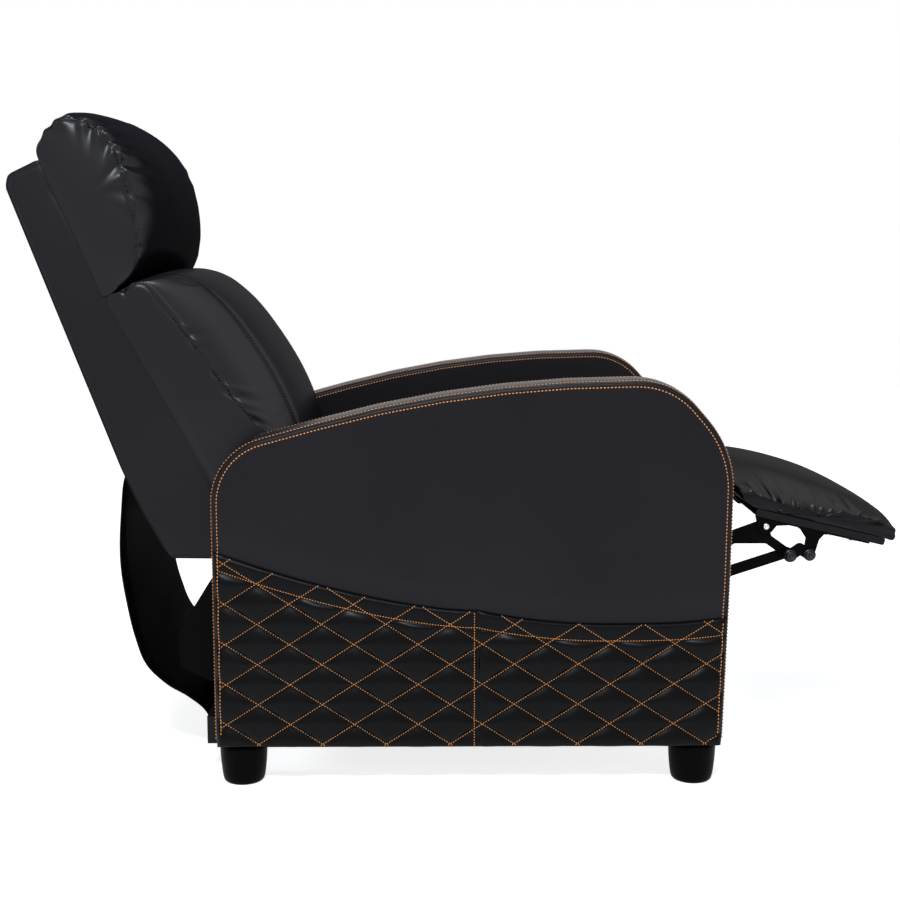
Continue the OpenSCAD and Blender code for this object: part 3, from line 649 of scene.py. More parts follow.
# The quilting: its diamonds, the seam between its two panels, its hem and its wavy upper edge.
DIAMOND_W, DIAMOND_H = 93.2, 60.0
LATTICE = (-31.0, 246.5)
SPLIT_X, SPLIT_STITCH = 9.0, 5.0
HEM = 25.0
QUILT_COLUMNS, QUILT_ROWS = 330, 108
QUILT_REAR = -ARM_HALF + 1
QUILT_LOW = FLOOR_GAP + 0.3
QUILT_CLEAR, QUILT_RIM, QUILT_TOP = 0.6, -2.5, 1.4
WAVE_LOWEST, WAVE_LOWEST_X, WAVE_AT_SPLIT = 246.0, 200.0, 266.0
WAVE_REAR_RISE, WAVE_FRONT_RISE = 88.0, 10.0
PUFF, PUFF_WIDTH, HEM_PUFF = 9.0, 8.0, 3.6
DENT, DENT_WIDTH = 0.9, 2.5
SEAM_WIDTH, LOW_SEAM_WIDTH, HEM_SEAM_WIDTH, TOP_SEAM_WIDTH = 4, 3, 4.5, 1.8
HEM_LEAST = 0.35
# Quilting lines are clipped from long lines, and what is shorter than the last number is left out.
LINES, LINE_REACH, LINE_MARGIN, LINE_LOW, LINE_SHORTEST = 9, 900, 6, 3, 12
THREAD_LIFT, QUILT_THREAD_LIFT = 0.3, 0.6
STRIP_ROLL, STRIP_CROWN = 1.0, 3.0
PANEL_STITCH_INSET, STRIP_STITCH_INSET = 6.6, 4.2


def wave_z(x):
    """Height of the quilting's upper edge."""
    x = np.asarray(x, float)
    dip = WAVE_LOWEST_X
    rear = WAVE_AT_SPLIT + WAVE_REAR_RISE * np.clip((SPLIT_X - x) / (SPLIT_X + ARM_HALF), 0, None) ** 1.6
    fall = WAVE_AT_SPLIT - WAVE_LOWEST
    middle = WAVE_LOWEST + fall * np.clip((dip - x) / (dip - SPLIT_X), 0, None) ** 2
    front = WAVE_LOWEST + WAVE_FRONT_RISE * np.clip((x - dip) / (ARM_HALF - dip), 0, None) ** 3
    return np.where(x < SPLIT_X, rear, np.where(x < dip, middle, front))


def panel_height(points, roll, crown):
    """How far a padded side panel stands out."""
    d = distance_to(points, ARM_LOOP)
    return seam_roll(d, roll) + crown * smoothstep(d, 5, 90)


def inner_height(points):
    return panel_height(points, 1.0, 0.8) - 0.4


def outer_height(points):
    """Padded above the quilting and sunk behind it."""
    above = smoothstep(points[:, 1] - wave_z(points[:, 0]), 2, 40)
    return panel_height(points, 1.2, 2.6) * above - 2.0 * (1 - above)


def diamond_distances(x, z):
    """Distances to the nearest quilting line of each slope."""
    span = 1 / math.hypot(1 / DIAMOND_W, 1 / DIAMOND_H)
    u = (x - LATTICE[0]) / DIAMOND_W + (z - LATTICE[1]) / DIAMOND_H
    v = (x - LATTICE[0]) / DIAMOND_W - (z - LATTICE[1]) / DIAMOND_H
    return abs(u - np.round(u)) * span, abs(v - np.round(v)) * span


def rise(d, width):
    """Steep beside a seam and flat further away."""
    return 1 - np.exp(-np.maximum(d, 0) / width)


def quilt_height(x, z):
    """How far the quilted panel stands out from the arm's side."""
    du, dv = diamond_distances(x, z)
    top = wave_z(x) - z
    edge = rise(x - QUILT_REAR, SEAM_WIDTH) * rise(front_edge(z) - x, SEAM_WIDTH)
    edge = edge * rise(z - FLOOR_GAP, LOW_SEAM_WIDTH)
    seam = rise(abs(x - SPLIT_X), SEAM_WIDTH)
    puffs = rise(du, PUFF_WIDTH) * rise(dv, PUFF_WIDTH) * rise(abs(top - HEM), HEM_SEAM_WIDTH)
    full = HEM_LEAST + (1 - HEM_LEAST) * rise(HEM - top, SEAM_WIDTH)
    hem = HEM_PUFF * rise(top, TOP_SEAM_WIDTH) * full
    body = np.where(top > HEM, PUFF * puffs, hem)
    dent = DENT * np.exp(-np.minimum(du, dv) / DENT_WIDTH)
    body = np.where(top > HEM, body, np.maximum(body - dent, 0))
    return QUILT_CLEAR + edge * seam * body


def front_edge(z):
    """x of the arm's front edge at a height."""
    run = ARM_LOOP[(ARM_LOOP[:, 0] > 300) & (ARM_LOOP[:, 1] < 420)]
    run = run[np.argsort(run[:, 1])]
    return np.interp(z, run[:, 1], run[:, 0])


def quilt_mesh(name, side):
    """A sheet of quilting whose rim turns in to the arm."""
    s, t = np.meshgrid(np.linspace(0, 1, QUILT_COLUMNS), np.linspace(0, 1, QUILT_ROWS))
    x = QUILT_REAR + s * (-2 * QUILT_REAR)
    for _ in range(2):
        z = QUILT_LOW + t * (wave_z(x) - QUILT_LOW)
        x = QUILT_REAR + s * (front_edge(z) - QUILT_REAR)
    y = ARM_OUTER + quilt_height(x, z)
    y[0], y[-1], y[:, 0], y[:, -1] = (ARM_OUTER + QUILT_RIM,) * 4
    z[-2] = z[-1] - 0.5
    y[-2] = ARM_OUTER + QUILT_TOP
    rows = np.stack([x, side * y, z], 2)
    faces = grid_faces(QUILT_ROWS, QUILT_COLUMNS, False)
    if side > 0:
        faces = [f[::-1] for f in faces]
    return mesh_object(name, rows.reshape(-1, 3), faces, MATS["quilt"])


def arm_seam_run(inset=0.0):
    """The arm's seam from the rear bottom corner over the top to the front bottom corner."""
    loop = ARM_LOOP - outward(ARM_LOOP) * inset
    keep = loop[:, 1] > FLOOR_GAP + 5 + max(inset, 0)
    angle = (np.degrees(np.arctan2(loop[:, 1] - FLOOR_GAP, loop[:, 0])) + 360) % 360
    order = np.argsort(-angle)
    return loop[order][keep[order]]


def arm_stitches(side):
    """On each face, a row beside the seam on the panel and one on the strip."""
    runs = []
    half = (ARM_OUTER - ARM_INNER) / 2
    crown = STRIP_CROWN * (1 - ((half - STRIP_STITCH_INSET) / half) ** 3)
    lift = seam_roll(STRIP_STITCH_INSET, STRIP_ROLL) + crown + THREAD_LIFT
    seam = arm_seam_run(0.0)
    out = arm_seam_run(-1.0) - seam
    for face, sign, height in ((ARM_OUTER, 1, outer_height), (ARM_INNER, -1, inner_height)):
        run = arm_seam_run(PANEL_STITCH_INSET)
        quilted = (run[:, 1] < wave_z(run[:, 0])) & (face == ARM_OUTER)
        proud = np.where(quilted, quilt_height(run[:, 0], run[:, 1]), height(run))
        runs.append(side_run(run, side * (face + sign * (proud + THREAD_LIFT)), side * sign))
        strip = across(seam + out * lift, side * (face - sign * STRIP_STITCH_INSET))
        runs.append((strip, across(out, 0.0)))
    return runs


def clipped_line(start, step, side):
    """Part of a quilting line that lies on the quilted panel."""
    t = np.linspace(-LINE_REACH, LINE_REACH, 2 * LINE_REACH + 1)
    p = np.array(start) + t[:, None] * np.array(step)
    ok = (p[:, 0] > -ARM_HALF + LINE_MARGIN) & (p[:, 0] < front_edge(p[:, 1]) - LINE_MARGIN)
    ok &= (p[:, 1] > FLOOR_GAP + LINE_LOW) & (p[:, 1] < wave_z(p[:, 0]) - 0.5)
    p = p[ok]
    if len(p) < LINE_SHORTEST:
        return None
    return quilt_run(p, side)


def quilt_run(p, side):
    """A line on the quilting and its outward directions."""
    return side_run(p, side * (ARM_OUTER + quilt_height(p[:, 0], p[:, 1]) + QUILT_THREAD_LIFT), side)


def quilt_stitches(side):
    """The diamonds, the hem and the row beside the seam between the two panels."""
    runs = []
    length = math.hypot(DIAMOND_W, DIAMOND_H)
    for slope in (1, -1):
        step = (DIAMOND_W / length, -slope * DIAMOND_H / length)
        for k in range(-LINES, LINES + 1):
            run = clipped_line((LATTICE[0] + k * DIAMOND_W, LATTICE[1]), step, side)
            if run:
                runs.append(run)
    x = np.linspace(-ARM_HALF + 8, ARM_HALF - 8, 200)
    runs.append(quilt_run(np.stack([x, wave_z(x) - HEM], 1), side))
    z = np.linspace(FLOOR_GAP + LINE_LOW, float(wave_z(SPLIT_X)) - 2, 60)
    runs.append(quilt_run(np.stack([np.full(60, SPLIT_X - SPLIT_STITCH), z], 1), side))
    return runs


def make_arm(word, side):
    y0, y1 = (ARM_INNER, ARM_OUTER) if side > 0 else (-ARM_OUTER, -ARM_INNER)
    low, high = (inner_height, outer_height) if side > 0 else (outer_height, inner_height)
    cover = upholstered("arm_cover_" + word, ARM_LOOP, y0, y1, low, high, MATS["arm"],
                        STRIP_ROLL, STRIP_CROWN, FLOOR_GAP + 0.6)
    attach(cover, "base")
    covered = ("arm_gusset", "arm_outer_panel", "arm_inner_panel", "arm_padding")
    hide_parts(*[node + "_" + word for node in covered])
    quilt = quilt_mesh("arm_quilt_" + word, side)
    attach(quilt, "base")
    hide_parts("quilt_rear_" + word, "quilt_front_" + word)
    stitches("arm_topstitch_" + word, arm_stitches(side), "base", MATS["orange"], 5.2, 3.5, 0.75)
    stitches("quilt_stitch_" + word, quilt_stitches(side), "base", MATS["orange"], 4.0, 2.7, 0.6)


# Back slab. Points are x and height.

SLAB_TOP = np.array([-622.0, 912.0])
SLAB_LOW = np.array([-381.0, 441.0])
SLAB_DOWN = (SLAB_LOW - SLAB_TOP) / np.linalg.norm(SLAB_LOW - SLAB_TOP)
SLAB_OUT = np.array([-SLAB_DOWN[1], SLAB_DOWN[0]])
SLAB_CORNERS = [(-345, 326, 12), (-345, 371, 10), (-622, 912, 3), (-668, 890, 12),
                (-671, 872, 14), (-517, 461, 60), (-487, 394, 60), (-449, 327, 16)]
SLAB_LOOP = resampled(rounded(SLAB_CORNERS), 220)
BACK_HALF = 260.0
SLAB_STITCH_INSET, SLAB_STITCH_DENT, SLAB_THREAD_LIFT = 6.0, 1.1, 0.2


def slab_height(points):
    """The slab's flat side, pulled in along its row of stitches."""
    d = distance_to(points, SLAB_LOOP)
    stitched = SLAB_STITCH_DENT * np.exp(-((d - SLAB_STITCH_INSET) / 1.5) ** 2)
    return seam_roll(d, 0.8, 1.0) + 0.4 * smoothstep(d, 5, 60) - 1.4 - stitched


def make_slab():
    slab = upholstered("back_shell", SLAB_LOOP, -BACK_HALF, BACK_HALF, slab_height, slab_height,
                       MATS["slab"], roll=0.8, crown=1.2)
    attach(slab, "back")
    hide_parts("back_side_board_left", "back_side_board_right", "back_rear_panel")
    runs = []
    inset = SLAB_LOOP - outward(SLAB_LOOP) * SLAB_STITCH_INSET
    rear = (inset[:, 0] < -440) & ((inset - SLAB_TOP) @ SLAB_OUT < -8)
    first = int(np.argmax(~rear & np.roll(rear, -1)))
    order = np.roll(np.arange(len(inset)), -first - 1)
    run = inset[[i for i in order if rear[i]]]
    for side in (-1, 1):
        runs.append(side_run(run, side * (BACK_HALF + slab_height(run) + SLAB_THREAD_LIFT), side))
    stitches("back_edge_stitch", runs, "back", MATS["black"], 5.6, 4.4, 0.5)


# Cushions.

# How close to the slab's face a cushion rests on it, and from where its cover is sewn and free.
RESTS_TO, SEWN_FROM, FREE_FROM = 6, 12, 14
BACK_INNER, SEAT_INNER = 172, 165
COLUMNS, MAIN_ROWS, SIDE_ROWS = 320, 77, 20
SEWN_DOWN = 0.02
CLOTH_STEPS = 20
SEAM_STITCH = (5.2, 3.6, 0.6)
SEAM_ROWS, SEAT_SEAM_ROWS = (-2.6, 2.6), (-4.0, 4.0)
INNER_STITCH = 3.5


def on_slab(a, b, n, sunk_a=1.0, sunk_b=1.0):
    """Points down the front of the back slab, sunk into it by a depth that changes from end to end."""
    steps = [i / n for i in range(n)]
    return [SLAB_TOP + SLAB_DOWN * (a + (b - a) * t) - SLAB_OUT * (sunk_a + (sunk_b - sunk_a) * t)
            for t in steps]


def bulge(t):
    """How full a cushion is across its width: 0 at the seams and 1 in the middle."""
    return np.clip(1 - np.abs(t) ** 2.6, 0, 1) ** 0.6


def refined(coarse, shape):
    """Spreads values at every second row and column over all of them."""
    wide = np.empty((coarse.shape[0], shape[1], 3))
    wide[:, ::2] = coarse
    wide[:, 1::2] = (coarse + np.roll(coarse, -1, 1)) / 2
    full = np.empty(shape)
    full[::2] = wide
    full[1::2] = (wide[:-1] + wide[1:]) / 2
    return full


def blow_up(obj, pressure):
    """Runs the cloth with air inside and no weight."""
    cloth = obj.modifiers.new("cloth", "CLOTH")
    cloth.settings.use_pressure = True
    cloth.settings.uniform_pressure_force = pressure
    cloth.settings.effector_weights.gravity = 0
    cloth.settings.vertex_group_mass = "held"
    cloth.settings.quality = 4
    cloth.settings.mass = 0.2
    cloth.settings.tension_stiffness = cloth.settings.compression_stiffness = 12
    cloth.settings.bending_stiffness = 0.6
    cloth.point_cache.frame_end = CLOTH_STEPS
    for step in range(1, CLOTH_STEPS + 1):
        scene.frame_set(step)


class Cushion:
    """A stuffed shape between an edge outline at each side seam and a fuller outline in the middle."""

    def __init__(self, name, edge, middle, half_w, rest, side_puff, widest=290.0):
        self.name, self.half_w, self.rest, self.widest = name, half_w, rest, widest
        dense_edge, dense_middle = (spline(p, 8, True) for p in (edge, middle))
        s = along(np.concatenate([dense_middle, dense_middle[:1]]))
        at = np.linspace(0, s[-1], COLUMNS + 1)[:-1]
        index = np.interp(at, s, np.arange(len(s)))
        self.edge, self.middle = (self.picked(loop, index) for loop in (dense_edge, dense_middle))
        depths = np.linspace(0.95, 0, SIDE_ROWS + 1)[:-1] ** 1.6
        rows = [self.side_ring(r, -1, side_puff) for r in depths]
        for t in np.sin(np.linspace(-math.pi / 2, math.pi / 2, MAIN_ROWS)):
            rows.append(across(self.edge + (self.middle - self.edge) * bulge(t), t * half_w))
        rows += [self.side_ring(r, 1, side_puff) for r in depths[::-1]]
        self.rows = np.array(rows)
        self.seams = (SIDE_ROWS, SIDE_ROWS + MAIN_ROWS - 1)

    def picked(self, loop, index):
        """Points of a closed loop at the given places in its list."""
        places = np.arange(len(loop) + 1)
        return np.stack([np.interp(index, places, np.append(loop[:, k], loop[0, k])) for k in (0, 1)], 1)

    def side_ring(self, r, sign, side_puff):
        """One ring of a side panel, r of the way from its seam to its middle."""
        loop = self.edge + (self.edge.mean(0) - self.edge) * r
        return across(loop, sign * (self.half_w + side_puff * swell(r / 0.9)))

    def directions(self):
        """Outward direction at every point."""
        p = self.rows
        over = np.gradient(p, axis=0)
        round_ = np.roll(p, -1, 1) - np.roll(p, 1, 1)
        n = np.cross(round_, over)
        n /= np.maximum(np.linalg.norm(n, axis=2), 1e-9)[..., None]
        c = p.reshape(-1, 3).mean(0)
        if ((p - c) * n).sum() < 0:
            n = -n
        return n

    def push(self, amount):
        """Moves every point outwards by its own amount."""
        self.rows = self.rows + self.directions() * amount[..., None]

    def simulate(self, pressure, cap):
        """Blows the shape up with cloth, holding its seams and the face that rests on something."""
        coarse = self.rows[::2, ::2]
        obj = turn_outwards(mesh_object("cloth_work", *closed_tube(coarse), MATS["cushion"]))
        group = obj.vertex_groups.new(name="held")
        pins = self.held()[::2, ::2].reshape(-1)
        for i in np.nonzero(pins > SEWN_DOWN)[0]:
            group.add([int(i)], float(pins[i]), "REPLACE")
        blow_up(obj, pressure)
        got = obj.evaluated_get(bpy.context.evaluated_depsgraph_get()).to_mesh()
        co = np.empty(len(got.vertices) * 3)
        got.vertices.foreach_get("co", co)
        co = co.reshape(-1, 3)[:coarse.size // 3] * 1000
        co[:, 0] -= OFFSET
        away = self.directions()[::2, ::2]
        puff = np.clip(((co.reshape(coarse.shape) - coarse) * away).sum(2), -0.5, cap)
        self.rows = self.rows + refined(away * puff[..., None], self.rows.shape)
        bpy.data.objects.remove(obj, do_unlink=True)
        scene.frame_set(1)

    def held(self):
        """1 where the cover is sewn down or rests on something, 0 where it is free."""
        resting = self.rest(self.rows).astype(float)
        sewn = np.zeros(self.rows.shape[:2])
        for s in self.seams:
            sewn[s] = 1
        return np.maximum(resting, sewn)

    def travel(self, row):
        """Distance of every point from a seam row over the cover, negative on the row's low side."""
        step = np.linalg.norm(np.diff(self.rows, axis=0), axis=2)
        s = np.concatenate([np.zeros((1, step.shape[1])), np.cumsum(step, 0)])
        return s - s[row]

    def around(self):
        """Distance travelled round the cushion's middle."""
        return along(self.rows[self.rows.shape[0] // 2])

    def groove(self, row, depth, width, where):
        """A sewn-down line along a row."""
        d = self.travel(row)
        self.push(-depth * np.exp(-(d / width) ** 2) * where)

    def tucks(self, row, places, reach, depth, width, where):
        """Pulled-in folds that run away from a seam: reach is over the front and over the side panel."""
        s = self.around()
        total = s[-1]
        d = self.travel(row)
        front = d * (1 if row < len(self.rows) / 2 else -1) > 0
        amount = np.zeros(self.rows.shape[:2])
        for k, (at, size) in enumerate(places):
            lean = 0.16 * math.sin(k * 2.4)
            off = s[None, :] - at * total + lean * d
            off = (off + total / 2) % total - total / 2
            far = np.where(front, reach[0], reach[1]) * size
            fade = np.exp(-(np.abs(d) / far) ** 1.5) * (1 - 0.5 * np.exp(-(d / 3) ** 2))
            w = np.where(front, width, width * 1.6)
            fold = -np.exp(-(off / w) ** 2) + 0.75 * np.exp(-((np.abs(off) - w * 1.9) / (w * 0.9)) ** 2)
            amount += depth * size * fade * fold * np.where(front, 1.0, 0.7)
        self.push(amount * where)

    def run_beside(self, row, offset, lift=0.25):
        """Points and directions along a seam row, offset to one side over the cover."""
        d = self.travel(row)
        n = self.directions()
        pts, dirs = [], []
        for c in range(self.rows.shape[1]):
            f = np.interp(offset, d[:, c], np.arange(len(d)))
            i = min(int(f), len(d) - 2)
            w = f - i
            normal = n[i, c] * (1 - w) + n[i + 1, c] * w
            pts.append(self.rows[i, c] * (1 - w) + self.rows[i + 1, c] * w + normal * lift)
            dirs.append(normal)
        return np.array(pts), np.array(dirs)

    def place_of(self, x, z):
        """Share of the way round at which the edge outline passes nearest to a point."""
        s = self.around()
        return s[int(np.argmin(np.hypot(self.edge[:, 0] - x, self.edge[:, 1] - z)))] / s[-1]

    def row_at(self, y):
        """The row that runs nearest to a place across the chair."""
        middle = self.rows[:, :, 1].mean(1)
        low, high = self.seams
        return low + int(np.argmin(np.abs(middle[low:high + 1] - y)))

    def build(self, mat, body, node):
        self.rows[..., 1] = np.clip(self.rows[..., 1], -self.widest, self.widest)
        verts, faces = closed_tube(self.rows)
        obj = turn_outwards(mesh_object(self.name, verts, faces, mat))
        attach(obj, body)
        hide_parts(node)


def split_runs(cushion, row, offsets, keep):
    """The kept columns of a seam row as runs, cut where they are not next to each other."""
    runs = []
    kept = np.nonzero(keep)[0]
    blocks = np.split(kept, np.nonzero(np.diff(kept) > 1)[0] + 1)
    if len(blocks) > 1 and blocks[0][0] == 0 and blocks[-1][-1] == len(keep) - 1:
        blocks[0] = np.concatenate([blocks.pop(), blocks[0]])
    for offset in offsets:
        pts, dirs = cushion.run_beside(row, offset)
        for block in blocks:
            if len(block) > 3:
                runs.append((pts[block], dirs[block]))
    return runs


def sew_seams(cushion, name, body, beside, keep, inner=(), keep_inner=None):
    """Stitches on both sides of the side seams, and one row on the outer side of each inner seam."""
    runs = []
    for row in cushion.seams:
        runs += split_runs(cushion, row, beside, keep(cushion.rows[row]))
    for row, side in zip(inner, (-1, 1)):
        runs += split_runs(cushion, row, (-side * INNER_STITCH,), keep_inner(cushion.rows[row]))
    stitches(name, runs, body, MATS["black"], *SEAM_STITCH)


def slab_depth(rows):
    """Distance of points in front of the slab's face."""
    return (rows[..., [0, 2]] - SLAB_TOP) @ SLAB_OUT


PILLOW_HALF = 261.0
HEAD_EDGE = [(-624, 921), (-617, 941), (-604, 959), (-580, 970), (-548, 962), (-518, 936), (-499, 887),
             (-487, 828), (-484, 790), (-487, 763), (-495, 745), (-510, 731)]
HEAD_MIDDLE = [(-626, 924), (-623, 946), (-608, 971), (-577, 991), (-533, 977), (-490, 937), (-465, 883),
               (-458, 830), (-462, 797), (-474, 768), (-490, 752), (-510, 731)]


def make_head():
    c = Cushion("head_pillow", on_slab(214, -6, 7, 12, 0) + HEAD_EDGE, on_slab(212, -6, 7) + HEAD_MIDDLE,
                PILLOW_HALF, lambda r: slab_depth(r) < RESTS_TO, side_puff=9)
    c.simulate(pressure=14, cap=4)
    front = slab_depth(c.rows) > FREE_FROM
    places = [(0.41, 0.6), (0.49, 0.9), (0.545, 1.3), (0.62, 1.0), (0.685, 1.35), (0.745, 0.9), (0.8, 0.5),
              (0.86, 0.5)]
    for row in c.seams:
        c.tucks(row, places, reach=(44, 17), depth=3.4, width=7.5, where=front)
        c.groove(row, 2.2, 3.8, front)
    c.build(MATS["head"], "back", "head_cushion")
    sew_seams(c, "head_stitch", "back", SEAM_ROWS, lambda row: slab_depth(row) > SEWN_FROM)


BACK_EDGE = [(-531, 711), (-512, 722), (-480, 736), (-451, 705), (-412, 655), (-368, 593), (-322, 535),
             (-285, 490), (-270, 450), (-285, 418), (-338, 406)]
BACK_MIDDLE = [(-509, 719), (-470, 751), (-423, 749), (-361, 705), (-311, 641), (-272, 572), (-248, 500),
               (-244, 440), (-266, 406), (-330, 403)]


def make_back():
    c = Cushion("back_pillow", on_slab(570, 218, 7, 0, 12) + BACK_EDGE, on_slab(570, 218, 7) + BACK_MIDDLE,
                PILLOW_HALF, lambda r: slab_depth(r) < RESTS_TO, side_puff=1.2, widest=262.2)
    c.simulate(pressure=12, cap=3.5)
    front = slab_depth(c.rows) > FREE_FROM
    ends = [(0.33, 1.1), (0.375, 1.2), (0.42, 0.8), (0.62, 0.5), (0.74, 1.0), (0.79, 0.9)]
    for row in c.seams:
        c.tucks(row, ends, reach=(44, 14), depth=3.0, width=8, where=front)
        c.groove(row, 2.2, 3.8, front)
    inner = [c.row_at(y) for y in (-BACK_INNER, BACK_INNER)]
    for row in inner:
        c.groove(row, 2.2, 3.2, front)
    c.build(MATS["cushion"], "back", "back_cushion")
    sew_seams(c, "back_stitch", "back", SEAM_ROWS, lambda row: slab_depth(row) > SEWN_FROM, inner,
              lambda row: slab_depth(row) > FREE_FROM)


SEAT_FRONT, SEAT_REAR, SEAT_LOW, SEAT_HALF = 352.0, -198.0, 392.3, 256


def seat_outline(points):
    """The flat underside and then the given points."""
    base = [(SEAT_REAR + 8 + (SEAT_FRONT - 30 - SEAT_REAR - 8) * i / 7, SEAT_LOW) for i in range(7)]
    return base + points


def above_seat_rim(points):
    return points[:, 2] > SEAT_LOW + FREE_FROM


def make_seat():
    edge = seat_outline([(330, SEAT_LOW), (349, 414), (338, 440), (240, 448), (100, 447), (-60, 443),
                         (-170, 440), (SEAT_REAR, 425), (SEAT_REAR + 6, SEAT_LOW + 3)])
    middle = seat_outline([(330, SEAT_LOW), (352, 420), (340, 452), (240, 466), (100, 466), (-60, 461),
                           (-170, 456), (SEAT_REAR, 432), (SEAT_REAR + 6, SEAT_LOW + 3)])
    c = Cushion("seat_pad", edge, middle, SEAT_HALF, lambda r: r[..., 2] < SEAT_LOW + 5, side_puff=1.5)
    c.simulate(pressure=12, cap=3)
    upper = c.rows[..., 2] > SEAT_LOW + 12
    for row in c.seams:
        c.groove(row, 2.4, 2.4, upper)
    inner = [c.row_at(y) for y in (-SEAT_INNER, SEAT_INNER)]
    for row in inner:
        c.groove(row, 2.4, 3.0, upper)
    c.build(MATS["cushion"], "seat", "seat_cushion")
    sew_seams(c, "seat_stitch", "seat", SEAT_SEAM_ROWS, above_seat_rim, inner, above_seat_rim)


# The footrest board slopes down forwards from the upper links' ends. The pad lies on top of it:
# above the pivot come half the bracket, the board and a small gap.
UPPER_END = np.array([444.0, 372.0])
SLOPE = math.radians(13.2)
PAD_TOP = 12 + 11 + 1.1
PAD_HALF, PAD_FOLDS, FOLD_SEED = 250, 22, 5


def board_point(u, v):
    """The point u down the board from the links' ends and v above it."""
    return (UPPER_END[0] + u * math.cos(SLOPE) + v * math.sin(SLOPE),
            UPPER_END[1] - u * math.sin(SLOPE) + v * math.cos(SLOPE))


def board_height(rows):
    """How far points are above the links' ends, square to the board."""
    d = rows[..., [0, 2]] - UPPER_END
    return d[..., 0] * math.sin(SLOPE) + d[..., 1] * math.cos(SLOPE)


def pad_outline(points):
    """The face on the board and then the given points."""
    base = [board_point(-20 + 202 * i / 6, PAD_TOP) for i in range(6)]
    return base + [board_point(*p) for p in points]


def make_pad():
    edge = pad_outline([(184, PAD_TOP), (189, 22), (193, 27), (188, 38), (165, 45), (125, 47), (85, 42),
                        (45, 38), (12, 28), (-12, 37), (-38, 45), (-46, 36), (-30, 26)])
    middle = pad_outline([(184, PAD_TOP), (196, 20), (206, 27), (206, 42), (180, 57), (136, 68), (90, 74),
                          (40, 76), (-8, 74), (-40, 65), (-58, 48), (-46, 34), (-30, 26)])
    c = Cushion("footrest_pad", edge, middle, PAD_HALF, lambda r: board_height(r) < PAD_TOP + 2,
                side_puff=4)
    c.simulate(pressure=12, cap=3)
    free = board_height(c.rows) > PAD_TOP + 4
    rng = np.random.default_rng(FOLD_SEED)
    places = [(0.36 + 0.62 * (k + rng.uniform(-0.3, 0.3)) / PAD_FOLDS, rng.uniform(0.6, 1.2))
              for k in range(PAD_FOLDS)]
    crease = [(c.place_of(*board_point(11, 29)), 1.0)]
    for row in c.seams:
        c.tucks(row, places, reach=(34, 26), depth=2.8, width=5.5, where=free)
        c.tucks(row, crease, reach=(42, 40), depth=8.0, width=7, where=free)
    c.build(MATS["pad"], "footrest", "footrest_cushion")


# Skirt, from the back's lower edge down to the low rail.

SKIRT_LINE = [(-517, 454), (-525, 440), (-530, 415), (-533, 380), (-537, 335), (-536, 295), (-529, 245),
              (-518, 190), (-499, 143), (-470, 114), (-438, 95), (-412, 74), (-402, 50), (-404, 22)]
SKIRT_HALF = 200.0
SKIRT_THICK = 0.0014
SKIRT_CURL, SKIRT_FOLD, SKIRT_RIPPLE = 5, 2.0, 0.9


def make_skirt():
    """Its edges curl in and ripple a little where it hangs free."""
    line = resampled(spline(SKIRT_LINE, 8), 90, closed=False)
    d = np.gradient(line, axis=0)
    d /= np.linalg.norm(d, axis=1)[:, None]
    away = np.stack([d[:, 1], -d[:, 0]], 1)
    ys = np.concatenate([[-1], np.linspace(-0.985, 0.985, 60), [1]])
    down = np.linspace(0, 1, len(line))
    hang = np.sin(math.pi * down)
    rows = []
    for t in ys:
        curl = SKIRT_CURL * (smoothstep(abs(t), 0.84, 1.12) / smoothstep(1.0, 0.84, 1.12) - 1)
        fold = (curl + SKIRT_FOLD * math.cos(t * 2.2)) * hang
        ripple = SKIRT_RIPPLE * abs(t) ** 6 * np.sin(down * 34 + 2 * np.sin(down * 9)) * hang * (1 - down)
        p = line + away * (fold + ripple)[:, None]
        y = t * SKIRT_HALF + 1.5 * np.sign(t) * abs(t) ** 8 * np.sin(down * 23) * hang
        rows.append(across(p, y))
    rows = np.array(rows)
    faces = grid_faces(len(ys), len(line), False)
    obj = mesh_object("skirt_sheet", rows.reshape(-1, 3), faces, MATS["skirt"])
    thick = obj.modifiers.new("thick", "SOLIDIFY")
    thick.thickness, thick.offset = SKIRT_THICK, 0
    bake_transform(obj)
    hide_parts("skirt")


# Metal, wood and feet.

NODE_MATS = {"wood": "wood", "foot_plastic": "plastic", "mechanism_paint": "paint", "steel": "zinc",
             "webbing": "web", "leather": "pad", "foam": "foam", "skirt_vinyl": "skirt"}


def dress_nodes():
    """Gives every solid of the part its own finish."""
    slots = {s["node"]: s["material_slot"] for s in frame["record"]["subparts"]}
    for name, obj in frame["nodes"].items():
        mat = MATS[NODE_MATS.get(slots[name], "pad")]
        obj.data.materials.clear()
        obj.data.materials.append(mat)


def turned(name, profile, point, sides, mat, body):
    """A turned piece: profile is (radius, height) pairs and point places one of them at an angle."""
    n = len(profile)
    verts = [point(r, h, 2 * math.pi * k / sides) for k in range(sides) for r, h in profile]
    faces = [(k * n + j, k * n + j + 1, (k + 1) % sides * n + j + 1, (k + 1) % sides * n + j)
             for k in range(sides) for j in range(n - 1)]
    obj = turn_outwards(mesh_object(name, np.array(verts), faces, mat), merge=True)
    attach(obj, body)
    return obj


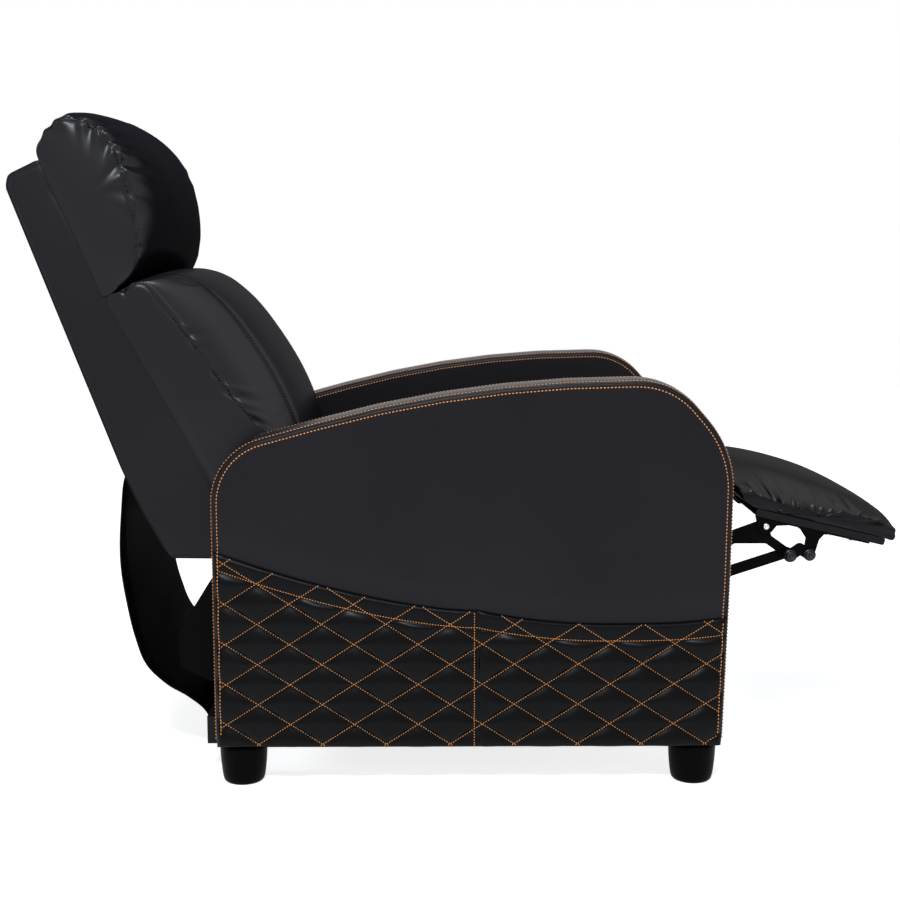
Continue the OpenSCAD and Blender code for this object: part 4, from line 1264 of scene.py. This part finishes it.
FOOT_SIDES, BOLT_SIDES = 48, 40
# Profiles of turned pieces: radius and height.
RIVET_HEAD = [(0, 1.5), (1.8, 1.3), (2.4, 2.7), (5.2, 2.6), (6.6, 1.6), (7.2, 0.2), (7.2, -0.4)]
BOLT = [(0, 1.4), (2.6, 1.4), (3.0, 3.6), (5.4, 3.9), (7.2, 3.3), (8.0, 1.9), (8.0, 1.0), (10.2, 0.9),
        (10.6, 0.4), (10.6, -0.3)]
RIVET = [(r * 0.7, h) for r, h in RIVET_HEAD]
BOLT_SMALL = [(r * 0.86, h) for r, h in BOLT]
FOOT = [(0, 0.0), (24, 0.0), (27.5, 0.8), (29.8, 3.2), (31.2, 8), (32.4, 16), (33.8, 30), (34.6, 42),
        (34.9, 52), (35.0, FLOOR_GAP - 0.2), (0, FLOOR_GAP - 0.2)]


def make_feet():
    for word in ("front_left", "front_right", "rear_left", "rear_right"):
        low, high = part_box("foot_" + word)
        x, y = (500 * (low[k] + high[k]) for k in (0, 1))
        foot = turned("foot_cup_" + word, FOOT,
                      lambda r, h, a: (x - OFFSET + r * math.cos(a), y + r * math.sin(a), h),
                      FOOT_SIDES, MATS["plastic"], "base")
        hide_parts("foot_" + word)


def head_on_link(name, profile, place, side, mat, body):
    """A rivet or bolt whose axis points outwards across the chair."""
    turned(name, profile,
           lambda r, h, a: (place[0] + r * math.cos(a), side * (place[1] + h), place[2] + r * math.sin(a)),
           BOLT_SIDES, mat, body)


def make_hardware():
    for side, word in ((-1, "right"), (1, "left")):
        head_on_link("rivet_" + word, RIVET, (444, 249.6, 372), side, MATS["zinc"], "upper")
        head_on_link("knee_bolt_" + word, BOLT_SMALL, (481, 254.2, 328), side, MATS["bolt"], "lower")
        head_on_link("toe_bolt_" + word, BOLT_SMALL, (510, 254.2, 329), side, MATS["bolt"], "footrest")


make_stage()
dress_nodes()
make_arm("right", -1)
make_arm("left", 1)
make_slab()
make_head()
make_back()
make_seat()
make_pad()
make_skirt()
make_hardware()
make_feet()
